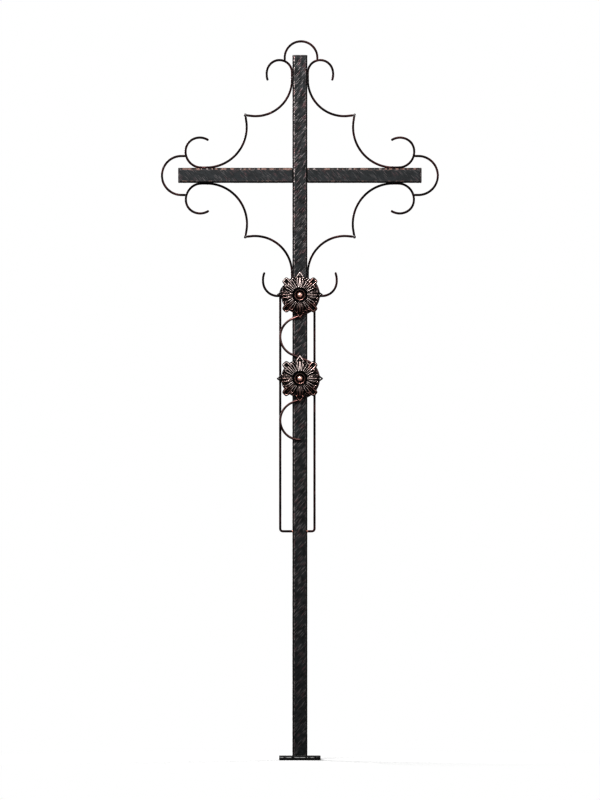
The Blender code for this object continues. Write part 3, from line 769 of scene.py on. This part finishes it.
def tackWelds(shape, kind, knee, toWorld, axis, seed):
    # a short weld at each end of the run that touches the bar, and a thin bead between them in the nook
    s = tacks
    start, run = weldStart(kind, *knee), kind["weldRun"]
    depth = rodSeat - s["forward"]
    nookReach = (run / 2 + s["nookPast"], s["nookRadius"], s["nookRadius"])
    addBlob(shape, toWorld(start + run / 2, rodSeat - s["nookIn"], depth), nookReach, seed + 5, 0.0, axis)
    for number, along in enumerate((start - s["endPast"], start + run + s["endPast"])):
        centre = toWorld(along, rodSeat + s["endOut"], depth)
        addBlob(shape, centre, s["endReach"], seed + number, 0.0, axis)


def buildScroll(name, node, kind, knee, toWorld, axis, seed):
    # one rod from its knee to the end of its curl; knee is its place along the bar and across it, and toWorld
    # turns such a place and a depth into x, y and z
    route = scrollRoute(kind, *knee)
    path = np.stack(toWorld(route[:, 0], route[:, 1], np.full(len(route), rodSeat)), -1)
    hotSpot = toWorld(weldStart(kind, *knee) + kind["weldRun"] / 2, rodSeat, rodSeat)
    shape = Surfaces()
    addRod(shape, path, scrolls["strength"], seed, (hotSpot, scrolls["hotReach"]))
    tackWelds(shape, kind, knee, toWorld, axis, seed)
    shape.piece(name, scrollIron, [node])


def nodeName(*words):
    return "_".join(words).lower()


def buildCorner(side, sideName, rise, above, endName, kneeRise):
    # the two scrolls of one corner of the crossing and the bead at their knee
    out = scrolls["kneeOut"]
    seed = 50 + 7 * side + 3 * rise
    buildScroll("scroll" + endName + sideName, nodeName("scroll", endName, sideName),
                scrolls[above.lower()], (kneeRise, out),
                lambda along, across, depth: (side * across, depth, crossingHeight + rise * along),
                (0, 0, 1), seed)
    buildScroll("scroll" + sideName + above, nodeName("scroll", sideName, above),
                scrolls["side"], (out, kneeRise),
                lambda along, across, depth: (side * along, depth, crossingHeight + rise * across),
                (1, 0, 0), seed + 20)
    shape = Surfaces()
    centre = (side * out, rodSeat, crossingHeight + rise * kneeRise)
    addBlob(shape, centre, scrolls["beadReach"], seed + 40, 0.55, (side, 0, rise))
    shape.piece("kneeBead" + above + sideName, kneeWeld,
                [nodeName("knee_bead", above, sideName)])


def buildScrolls():
    for side, sideName in ((-1, "Left"), (1, "Right")):
        buildCorner(side, sideName, 1, "Upper", "Top", scrolls["kneeUp"])
        buildCorner(side, sideName, -1, "Lower", "Bottom", scrolls["kneeDown"])


buildScrolls()
print("scrolls bent")


# end arcs: a half circle on two straight legs that stand on the curls
endArcs = {
    "topRadius": 0.0435, "topLeg": 0.0065, "topShift": 0.003, "sideRadius": 0.052, "sideLeg": 0.0110,
    "bite": 0.0006, "topFoot": (0.0036, 0.0030, 0.0028), "sideFoot": (0.0034, 0.0030, 0.0028),
}


def legEnd(centre, radius, across):
    # where a leg along the bar meets the back of a curl: the circle of the curl's outer side, less a bite
    outer = radius + rodRadius - endArcs["bite"]
    return centre[0] + math.sqrt(outer ** 2 - max(abs(across - centre[1]) - rodRadius * 0.5, 0) ** 2)


def buildArc(name, route, mirror, strength, seed, foot, footSeeds, axis):
    # an arc's rod with a small weld at each foot
    path = inPlane(route, rodSeat, crossingHeight, mirror)
    shape = Surfaces()
    addRod(shape, path, strength, seed)
    for end, footSeed in zip((path[0], path[-1]), footSeeds):
        addBlob(shape, end, foot, footSeed, 0.3, axis)
    shape.piece("endArc" + name, scrollIron, [nodeName("end_arc", name)])


def buildEndArcs():
    s = endArcs
    upper, side = scrolls["upper"], scrolls["side"]
    curl = upper["curl"][0][0]
    crown = curlCentre(upper, scrolls["kneeUp"], scrolls["kneeOut"])
    spring = crown[0] + curl + s["topLeg"]
    leftFoot = legEnd(crown, curl, s["topRadius"] - s["topShift"])
    rightFoot = legEnd(crown, curl, s["topRadius"] + s["topShift"])
    route = walkRoute((s["topShift"] - s["topRadius"], leftFoot), 90,
                      [(spring - leftFoot,), (s["topRadius"], -180), (spring - rightFoot,)])
    buildArc("Top", route, 1.0, 0.7, 81, s["topFoot"], (82, 83), (0, 0, 1))

    curl = side["curl"][0][0]
    above = curlCentre(side, scrolls["kneeOut"], scrolls["kneeUp"])
    below = curlCentre(side, scrolls["kneeOut"], scrolls["kneeDown"])
    spring = max(above[0], below[0]) + curl + s["sideLeg"]
    upperFoot, lowerFoot = legEnd(above, curl, s["sideRadius"]), legEnd(below, curl, s["sideRadius"])
    route = walkRoute((upperFoot, s["sideRadius"]), 0,
                      [(spring - upperFoot,), (s["sideRadius"], -180), (spring - lowerFoot,)])
    for mirror, name in ((-1, "Left"), (1, "Right")):
        buildArc(name, route, mirror, 0.6, 90 + mirror, s["sideFoot"], (92 + mirror, 96 + mirror), (1, 0, 0))


buildEndArcs()
print("end arcs set")


# side frame and wave
rosetteUpper = crossingHeight - 0.3191
rosettePitch = 0.2229
sideFrame = {
    "left": 0.0524, "right": 0.0390, "length": 0.6609, "above": 0.0310, "bend": 0.007, "stub": 0.002,
    "weldIn": 0.0006, "lowWeld": (0.0044, 0.0036, 0.0030), "topWeld": (0.0044, 0.0034, 0.0030),
}
wave = {"slope": 22.5, "start": 52.0, "end": 4.0, "shift": -0.00095, "strength": 0.95}


def buildFrame():
    s = sideFrame
    depth = -(barHalf - rodRadius)
    top = rosetteUpper + s["above"]
    bottom = top - s["length"]
    for mirror, name in ((-1, "Left"), (1, "Right")):
        distance = s[name.lower()]
        topBend = distance - sideFace - s["stub"]
        moves = [(distance - sideFace - s["bend"],), (s["bend"], 90), (s["length"] - s["bend"] - topBend,),
                 (topBend, 90), (s["stub"],)]
        route = walkRoute((sideFace, bottom), 0, moves)
        shape = Surfaces()
        addRod(shape, inPlane(route, depth, 0.0, mirror), 0.55, 101 + mirror)
        shape.piece("frameRod" + name, scrollIron, ["frame_rod_" + name.lower()])
        shape = Surfaces()
        for height, reach, seed, rub in ((bottom, s["lowWeld"], 105, 0.9), (top, s["topWeld"], 108, 0.5)):
            centre = (mirror * (barHalf - s["weldIn"]), depth + s["weldIn"], height)
            addBlob(shape, centre, reach, seed + mirror, rub, (1, 0, 0))
        shape.piece("frameWelds" + name, copperWeld)


def buildWave():
    # bulges right and left in turn round the post's axis, joined by runs that slope across the post
    slope = math.radians(wave["slope"])
    pitch = rosettePitch / 2
    radius = pitch / 2 * math.cos(slope)
    run = (pitch * math.sin(slope),)
    begin = math.radians(wave["start"])
    start = (radius * math.cos(begin), rosetteUpper + radius * math.sin(begin))
    moves = [(radius, -(wave["start"] + 90 - wave["slope"])), run, (radius, 180 - 2 * wave["slope"]), run,
             (radius, -(180 - 2 * wave["slope"])), run, (radius, 180 - wave["slope"] + wave["end"])]
    route = walkRoute(start, wave["start"] - 90, moves)
    shape = Surfaces()
    route[:, 0] += wave["shift"]
    addRod(shape, inPlane(route, -(sideFace + rodRadius)), wave["strength"], 111)
    shape.piece("waveRod", waveIron, ["wave_rod"])


buildFrame()
buildWave()
print("frame and wave set")


# rosettes

rosette = {
    "back": -(sideFace + 2 * rodRadius + gap), "turns": 840, "rows": 88, "petalStart": 0.0203,
    "inner": 0.0082, "outer": 0.0034, "fall": 1.3, "leafTip": 0.0618, "boss": 0.009,
    "leastHeight": 0.0012,
    "rimAngles": (0, 5, 8, 11, 14, 18, 22.5, 27, 31, 33, 34.4, 35.6, 36.8, 38.2, 40.5, 45),
    "rimReach": (0.0520, 0.0518, 0.0510, 0.0500, 0.0492, 0.0496, 0.0500, 0.0500, 0.0498, 0.0502, 0.0524,
                 0.0555, 0.0578, 0.0592, 0.0600, 0.0600),
    "hubRadius": (0.0012, 0.0050, 0.0078, 0.0083, 0.0089, 0.0098, 0.0109, 0.0118, 0.0125, 0.0131, 0.0137,
                  0.0144, 0.0151, 0.0158, 0.0165, 0.0172, 0.0180, 0.0188, 0.0197),
    "hubHeight": (0.0050, 0.0050, 0.0050, 0.0050, 0.0051, 0.0055, 0.0063, 0.0073, 0.0084, 0.0092, 0.0093,
                  0.0087, 0.0078, 0.0078, 0.0080, 0.0074, 0.0062, 0.0057, 0.0060),
    "hubRub": (0.20, 0.20, 0.22, 0.26, 0.28, 0.32, 0.38, 0.46, 0.60, 0.74, 0.66, 0.24, 0.08, 0.20, 0.28,
               0.16, 0.02, 0.0, 0.05),
    # painted light: the rub rises from the rosette's bottom to its top
    "paintedLightAt": (-1.0, -0.75, -0.35, 0.0, 0.35, 0.75, 1.0),
    "paintedLightGain": (0.74, 0.92, 0.90, 0.86, 1.02, 1.14, 1.24),
    "held": ((46.0, 26.0, 0.30), (180.0, 20.0, 0.22)),
    "flank": 0.42, "lowHub": 0.35, "dish": 0.0136, "narrowed": 0.80,
}
# hollows of the ground: depth first, then place and width
hollows = {
    "groove": (0.0020, 21.5, 3.0), "trough": (0.0014, 0.0032), "furrow": (0.0011, 0.0038, 0.0012),
    "dent": (0.0020, 0.0400, 0.0040, 0.0122, 0.0026), "flute": 0.00025, "grit": 0.00014,
}


def bezier(p0, p1, p2, p3, count=22):
    # cubic curve through p0 and p3, pulled toward p1 and p2
    t = np.linspace(0, 1, count)[:, None]
    p0, p1, p2, p3 = (np.array(p, float) for p in (p0, p1, p2, p3))
    return p0 * (1 - t) ** 3 + 3 * p1 * t * (1 - t) ** 2 + 3 * p2 * t ** 2 * (1 - t) + p3 * t ** 3


def spiral(centre, startRadius, endRadius, startAngle, sweep, count=26):
    # circle round a centre whose radius shrinks evenly from start to end; angles in degrees
    t = np.linspace(0, 1, count)
    angle = np.radians(startAngle + sweep * t)
    radius = startRadius + (endRadius - startRadius) * t
    return np.stack([centre[0] + radius * np.cos(angle), centre[1] + radius * np.sin(angle)], -1)


def fromAxis(radius, degrees):
    # a point by its distance from the rosette's middle and its angle from the petal's axis
    return radius * math.cos(math.radians(degrees)), radius * math.sin(math.radians(degrees))


# ridges of half a leaf and of half a pod: (curve, half widths at its start, middle and end, height, rub);
# a curve runs out along the petal's axis (first value) and across it (second value)
leafRidges = [
    (bezier((0.0210, 0), (0.028, 0), (0.036, 0), (0.0445, 0)), (0.0014, 0.0044, 0.0030), 0.0010, 0.82),
    (bezier((0.0240, 0), (0.030, 0), (0.038, 0), (0.0452, 0)), (0.0005, 0.0009, 0.0007), 0.0016, 1.00),
    (bezier((0.0205, 0.0036), (0.030, 0.0040), (0.035, 0.0078), (0.0432, 0.0064)),
     (0.0010, 0.0016, 0.0011), 0.0018, 0.94),
    (spiral((0.0450, 0.0090), 0.0028, 0.0011, 270, 235), (0.0012, 0.0014, 0.0009), 0.0018, 0.98),
    (bezier((0.0240, 0.0066), (0.030, 0.0080), (0.035, 0.0100), (0.0400, 0.0108), 14),
     (0.0006, 0.0011, 0.0008), 0.0012, 0.80),
    (bezier((0.0502, 0), (0.051, 0), (0.0515, 0), (0.0518, 0), 3), (0.0012, 0.0013, 0.0012), 0.0012, 0.85),
    (bezier(fromAxis(0.0208, 14.5), fromAxis(0.026, 14), fromAxis(0.029, 15), fromAxis(0.0325, 14.0), 12),
     (0.0006, 0.0008, 0.0004), 0.0006, 0.35),
]
podOutline = np.concatenate([
    bezier((0.0206, 0.0040), (0.030, 0.0046), (0.042, 0.0058), (0.0530, 0.0064)),
    spiral((0.0534, 0.0028), 0.0036, 0.0036, 90, -90, 8), np.array([[0.0570, 0.0]]),
])
podRidges = [
    (podOutline, (0.0011, 0.0015, 0.0018), 0.0020, 0.93),
    (bezier((0.0215, 0), (0.030, 0), (0.038, 0), (0.0450, 0)), (0.0008, 0.0019, 0.0015), 0.0010, 0.84),
    (bezier(fromAxis(0.0222, 21.5), fromAxis(0.028, 20.0), fromAxis(0.034, 19.0), fromAxis(0.0405, 18.2)),
     (0.0020, 0.0015, 0.0011), 0.0020, 0.98),
    (bezier((0.0392, 0.0130), (0.0462, 0.0126), (0.0468, 0.0084), (0.0412, 0.0088)),
     (0.0011, 0.0016, 0.0011), 0.0019, 0.98),
    (spiral((0.0487, 0.0106), 0.0016, 0.0011, 250, 230, 16), (0.0008, 0.0011, 0.0007), 0.0014, 0.85),
]
leafBeads = [(fromAxis(0.0472, 22.8), 0.0018, 0.0018, 0.95), (fromAxis(0.0425, 20.0), 0.0009, 0.0009, 0.65)]
podBeads = [((0.0245 + 0.0026 * number, 0.0), 0.0008, 0.0012, 0.90) for number in range(9)]


def nearCurve(x, y, curve):
    # distance to a chain of straight pieces, and the share of the chain's length at the nearest place
    start, step = curve[:-1], np.diff(curve, axis=0)
    length = np.linalg.norm(step, axis=1) + 1e-12
    before = np.concatenate([[0], np.cumsum(length)])
    best, share = np.full(x.shape, 1.0), np.zeros(x.shape)
    for (sx, sy), (dx, dy), size, begun in zip(start, step, length, before):
        t = np.clip(((x - sx) * dx + (y - sy) * dy) / size ** 2, 0, 1)
        away = np.hypot(x - sx - t * dx, y - sy - t * dy)
        nearer = away < best
        best = np.where(nearer, away, best)
        share = np.where(nearer, (begun + t * size) / before[-1], share)
    return best, share


def raised(x, y, ridges, beads):
    # ridges and beads over a petal: each ridge is round in section, (1 - (distance / half width)^2)^0.7, and
    # the highest counts; the rub is strongest on the crown
    up, rub = np.zeros(x.shape), np.zeros(x.shape)
    for curve, widths, height, shine in ridges:
        away, share = nearCurve(x, y, curve)
        width = np.interp(share, (0, 0.5, 1), widths) * rosette["narrowed"]
        crown = np.clip(1 - (away / width) ** 2, 0, 1)
        high = height * np.minimum(width / max(widths), 1) ** 0.5 * crown ** 0.7
        rub = np.where(high > up, shine * np.clip(crown * 1.5, 0, 1), rub)
        up = np.maximum(up, high)
    for (cx, cy), radius, height, shine in beads:
        crown = np.clip(1 - ((x - cx) ** 2 + (y - cy) ** 2) / radius ** 2, 0, 1)
        high = height * crown ** 0.6
        rub = np.where(high > up, shine * np.clip(crown * 1.5, 0, 1), rub)
        up = np.maximum(up, high)
    return up, rub


def foldedAngle(turn):
    # degrees from the nearest leaf's axis, 0 on a leaf and 45 on a pod
    degrees = np.degrees(turn) % 90
    return np.minimum(degrees, 90 - degrees)


def domeHeight(radius):
    s = rosette
    share = np.clip((radius - s["petalStart"]) / (s["leafTip"] - s["petalStart"]), 0, 1)
    return s["inner"] - (s["inner"] - s["outer"]) * share ** s["fall"]


def petalGround(petal, fold, leafX, leafY, podY, opened):
    # the falling dome, cut by a groove between leaf and pod, by a trough along each pod, by a furrow beside
    # each leaf's middle rib and by a dent beside its loop
    ground = domeHeight(petal)
    depth, middle, width = hollows["groove"]
    ground = ground - depth * opened * np.exp(-((fold - middle) / width) ** 2)
    depth, width = hollows["trough"]
    ground = ground - depth * opened * np.exp(-(podY / width) ** 4)
    depth, middle, width = hollows["furrow"]
    ground = ground - depth * opened * np.exp(-((leafY - middle - 0.10 * (leafX - 0.020)) / width) ** 2)
    depth, out, long, aside, wide = hollows["dent"]
    return ground - depth * np.exp(-((leafX - out) / long) ** 2 - ((leafY - aside) / wide) ** 2)


def rosetteFace(seed):
    # height over the flat back at each turn and radius: the ground with its ridges and beads, and inside it
    # the two rings, the dish and the rivet's seat
    s = rosette
    turn = np.linspace(0, 2 * math.pi, s["turns"], endpoint=False)
    lift = np.sin(turn)[None]
    fold = foldedAngle(turn)[None]
    reach = np.interp(fold, s["rimAngles"], s["rimReach"])
    hub, hubUp, hubRub = [np.repeat(np.array(s[key])[:, None], len(turn), 1)
                          for key in ("hubRadius", "hubHeight", "hubRub")]
    share = np.linspace(0, 1, s["rows"])[:, None]
    petal = s["petalStart"] + (reach - s["petalStart"]) * share
    angle = np.radians(fold)
    leafX, leafY = petal * np.cos(angle), petal * np.sin(angle)
    podX, podY = petal * np.cos(math.pi / 4 - angle), petal * np.sin(math.pi / 4 - angle)
    opened = smoothStep(0.0, 0.12, share)
    leafUp, leafRub = raised(leafX, leafY, leafRidges, leafBeads)
    podUp, podRub = raised(podX, podY, podRidges, podBeads)
    up = petalGround(petal, fold, leafX, leafY, podY, opened) + np.maximum(leafUp, podUp)
    # painted light: the bead row along each pod and every ridge are rubbed paler high up and darker low down
    podRub = podRub * np.where(np.abs(podY) < 0.0024, 0.84 + 0.16 * np.clip(2 * lift, -1, 1), 1.0)
    rub = np.maximum(leafRub, podRub) * np.interp(lift, s["paintedLightAt"], s["paintedLightGain"])
    # painted shade takes rub away where the lamp light meets the ridges squarely, up right and on the left
    # leaf;
    # painted highlight adds rub by the hub low down
    degrees = np.degrees(turn)[None]
    for middle, width, part in s["held"]:
        rub = rub * (1 - part * np.exp(-((degrees - middle) / width) ** 2))
    rub = rub * (1 + s["lowHub"] * smoothStep(0.0, -0.6, lift) * smoothStep(0.040, 0.026, petal))
    grit = cloudNoise(petal * 500 * np.cos(turn), petal * 500 * np.sin(turn), seed)
    # fine flutes fan out over the ground between the ridges: waves of 3.6 degrees
    flute = 0.5 + 0.5 * np.cos(np.radians(fold * 100))
    up = up + hollows["grit"] * (grit - 0.5) + hollows["flute"] * flute * opened
    rub = np.maximum(rub, opened * (0.04 + 0.12 * flute) * (0.6 + 0.8 * grit))
    up = np.maximum(up, s["leastHeight"])
    # over the rim to the flat back, in to the boss and down to the post
    rimRadius = reach * np.array([[1.004], [0.990]])
    bossRadius = s["boss"] + 0 * rimRadius
    backHeight = np.array([[0.0007], [0.0], [0.0], [-(2 * rodRadius + gap)]]) + 0 * lift
    radius = np.concatenate([hub, petal, rimRadius, bossRadius])
    height = np.concatenate([hubUp, up, backHeight])
    rub = np.concatenate([hubRub, rub, np.full((4, len(turn)), 0.30)])
    # slope of the face, down the radius and round the turn, gives how much each place faces up; flanks facing
    # up get more rub and flanks facing down less, painted light
    outward = np.gradient(height, axis=0) / (np.gradient(radius, axis=0) + 1e-6)
    sideways = np.gradient(height, axis=1) / (radius * (turn[1] - turn[0]))
    upward = -(outward * lift + sideways * np.cos(turn)[None])
    facing = upward / np.sqrt(1 + outward ** 2 + sideways ** 2)
    rub = rub * np.clip(1 + s["flank"] * np.clip(facing, -1, 1), 0.4, 1.4)
    pink = smoothStep(0.030, 0.046, radius) * (1 - 0.6 * np.abs(np.cos(turn))[None] ** 6)
    # painted shade: low marks the lower half, which the material paints redder and darker, and the dish, red
    # all round
    low = smoothStep(0.20, -0.80, lift) * (0.25 + 0.75 * pink)
    low = np.where(radius < s["dish"], 0.9, low)
    return turn, radius, height, {"rub": rub, "pink": pink, "low": low}


# rub and low per leaf, east, north, west, south: the north frame is painted brightest and the south one
# redder, painted light
frameBar = {"radius": 0.0019, "foot": (0.0395, 0.0148), "apex": 0.0600, "lift": 0.0024, "bend": 0.0016,
            "sides": 14, "unevenness": 0.00015,
            "rub": (0.42, 1.28, 0.36, 0.86), "low": (0.3, 0.0, 0.3, 0.5)}


def addLeafFrame(shape, quarter, centreHeight, seed):
    # the pointed frame over a leaf: one bar from foot to foot, bent at the tip, its feet sunk in the casting
    s = frameBar
    foot = np.array(s["foot"])
    corner = np.array([s["apex"], 0.0])
    slope = (corner - foot) / np.linalg.norm(corner - foot)
    near = corner - s["bend"] * slope
    mirror = np.array([1.0, -1.0])
    side = np.linspace(0, 1, 18)[:, None] * (near - foot) + foot
    tip = bezier(near, corner, corner, near * mirror, 9)[1:-1]
    flat = np.concatenate([side, tip, side[::-1] * mirror])
    angle = math.pi / 2 * quarter
    x = flat[:, 0] * math.cos(angle) - flat[:, 1] * math.sin(angle)
    z = flat[:, 0] * math.sin(angle) + flat[:, 1] * math.cos(angle)
    path = np.stack([x, np.full(len(x), rosette["back"] - s["lift"]), centreHeight + z], -1)
    grid = sweptRod(path, s["radius"], s["sides"], seed, s["unevenness"])
    away = outwardOf(grid)
    # rubbed on the crown that faces front, with painted highlight where it leans up
    crown = np.clip(-1.05 * away[..., 1] + 0.35 * away[..., 2] - 0.10, 0, 1)
    shape.add(grid, rub=s["rub"][quarter] * crown, pink=1.0, low=s["low"][quarter])


def buildRosette(name, height, seed):
    s = rosette
    turn, radius, up, wearAndSheen = rosetteFace(seed)
    grid = np.stack([radius * np.cos(turn)[None], s["back"] - up, height + radius * np.sin(turn)[None]], -1)
    shape = Surfaces()
    shape.add(grid, **wearAndSheen)
    for quarter in range(4):
        addLeafFrame(shape, quarter, height, seed + quarter)
    shape.piece("rosette" + name, rosetteCopper, ["rosette_" + name.lower()])


rivet = {"radius": 0.0080, "rise": 0.0078, "seat": 0.0053, "rows": 22, "columns": 40, "uneven": 0.00012}


def buildRivet(name, height, seed):
    # half ellipsoid whose middle line is the y axis, bright on its crown, lighter on its upper side by
    # painted highlight and darker toward its foot by painted shade, closed by a flat underside
    s = rivet
    polar = np.linspace(0.03, math.pi / 2, s["rows"])[:, None]
    turn = np.linspace(0, 2 * math.pi, s["columns"], endpoint=False)[None]
    noise = cloudNoise(4 * np.cos(turn) * np.sin(polar) + 9, 4 * np.sin(turn) * np.sin(polar) + 9, seed)
    dent = s["uneven"] * noise
    out = (s["radius"] - dent) * np.sin(polar)
    up = (s["rise"] - dent) * np.cos(polar)
    grid = np.stack([out * np.cos(turn), rosette["back"] - s["seat"] - up, height + out * np.sin(turn)], -1)
    # painted light: the crown and upper side bright, the lower side and the foot dark
    rub = np.clip(0.05 + 0.95 * np.cos(polar) ** 0.8 + 0.42 * np.sin(polar) * np.sin(turn), 0, 1)
    rub = rub * (1 - smoothStep(0.86, 0.99, np.sin(polar)))
    shape = Surfaces()
    shape.add(grid, rub=rub)
    shape.piece("rivet" + name, rivetCopper, ["rosette_rivet_" + name.lower()])


for name, height, seed in (("Upper", rosetteUpper, 200), ("Lower", rosetteUpper - rosettePitch, 300)):
    buildRosette(name, height, seed)
    buildRivet(name, height, seed)
print("rosettes cast")


# floor, light and camera

stageSize = {
    "floorRadius": 2.6, "floorSides": 96, "floorDrop": 0.0005, "surround": 0.35, "glowFrom": 0.20,
    "glowTo": 1.10, "contrast": 0.75,
    "black": (0, 0, 0, 1), "white": (1, 1, 1, 1), "dim": (0.38, 0.38, 0.38, 1), "pale": (0.40, 0.40, 0.40, 1),
}
view = {"distance": 40.0, "height": 0.86, "aim": (0.0003, 0.0, 0.9590), "fieldHeight": 2.1333, "sensor": 36.0}
lamps = {
    "keyAbove": {"place": (-0.9, -2.3, 3.5), "target": (0, 0, 1.25), "size": (1.1, 1.1), "power": 215},
    "fillRight": {"place": (2.2, -2.4, 1.6), "target": (0, 0, 1.0), "size": (0.9, 1.8), "power": 26},
    "rearLeft": {"place": (-1.9, 2.7, 2.2), "target": (0, 0, 1.0), "size": (1.4, 2.0), "power": 260},
    "rearRight": {"place": (2.4, 2.2, 1.6), "target": (0, 0, 1.0), "size": (1.4, 2.0), "power": 200},
}


def buildFloor():
    # pale disc that glows more outward while its own colour fades, so that its edge melts into the white
    s = stageSize
    mesh = bpy.data.meshes.new("floor")
    turn = np.linspace(0, 2 * math.pi, s["floorSides"], endpoint=False)
    points = np.stack([np.cos(turn), np.sin(turn), np.zeros_like(turn)], -1) * s["floorRadius"]
    points[:, 2] = -s["floorDrop"]
    mesh.from_pydata(points, [], [list(range(len(turn)))])
    floor = bpy.data.objects.new("floor", mesh)
    bpy.context.scene.collection.objects.link(floor)
    floor.visible_diffuse = False
    floor.visible_glossy = False
    paint = Paint("paleFloor")
    spot = paint.place()
    reach = paint.node("ShaderNodeVectorMath", {"operation": "LENGTH"}, {0: spot}, 1)
    share = paint.ramp(reach, s["glowFrom"], s["glowTo"])
    paint.plug(paint.shader.inputs["Emission Color"], paint.mix(share, s["black"], s["white"]))
    paint.shader.inputs["Emission Strength"].default_value = 1.0
    colour = paint.mix(paint.noise(spot, 3.0, 2.0, 0.5), s["dim"], s["pale"])
    mesh.materials.append(paint.finish(paint.mix(share, colour, s["black"]), 0.9, 0.0, gloss=0.0))


def aim(thing, target):
    direction = Vector(target) - thing.location
    thing.rotation_euler = direction.to_track_quat("-Z", "Y").to_euler()


def buildLight():
    # white behind the cross, a dimmer white for its surfaces, and four soft boxes
    world = bpy.data.worlds.new("studio")
    bpy.context.scene.world = world
    world.use_nodes = True
    tree = world.node_tree
    seen = tree.nodes["Background"]
    seen.inputs["Color"].default_value = stageSize["white"]
    around = tree.nodes.new("ShaderNodeBackground")
    around.inputs["Color"].default_value = stageSize["white"]
    around.inputs["Strength"].default_value = stageSize["surround"]
    path = tree.nodes.new("ShaderNodeLightPath")
    blend = tree.nodes.new("ShaderNodeMixShader")
    tree.links.new(path.outputs["Is Camera Ray"], blend.inputs[0])
    tree.links.new(around.outputs[0], blend.inputs[1])
    tree.links.new(seen.outputs[0], blend.inputs[2])
    tree.links.new(blend.outputs[0], tree.nodes["World Output"].inputs["Surface"])
    for name, s in lamps.items():
        lamp = bpy.data.lights.new(name, "AREA")
        lamp.shape = "RECTANGLE"
        lamp.size, lamp.size_y = s["size"]
        lamp.energy = s["power"]
        made = bpy.data.objects.new(name, lamp)
        made.location = s["place"]
        aim(made, s["target"])
        bpy.context.scene.collection.objects.link(made)
    bpy.context.scene.view_settings.view_transform = "Standard"
    bpy.context.scene.view_settings.gamma = stageSize["contrast"]


def buildCamera():
    s = view
    lens = bpy.data.cameras.new("camera")
    camera = bpy.data.objects.new("camera", lens)
    lens.sensor_width = s["sensor"]
    lens.lens = s["sensor"] * s["distance"] / s["fieldHeight"]
    lens.clip_end = 200
    camera.location = (s["aim"][0], -s["distance"], s["height"])
    aim(camera, s["aim"])
    bpy.context.scene.collection.objects.link(camera)
    bpy.context.scene.camera = camera


buildFloor()
buildLight()
buildCamera()
print("stage set")

bpy.context.view_layer.update()
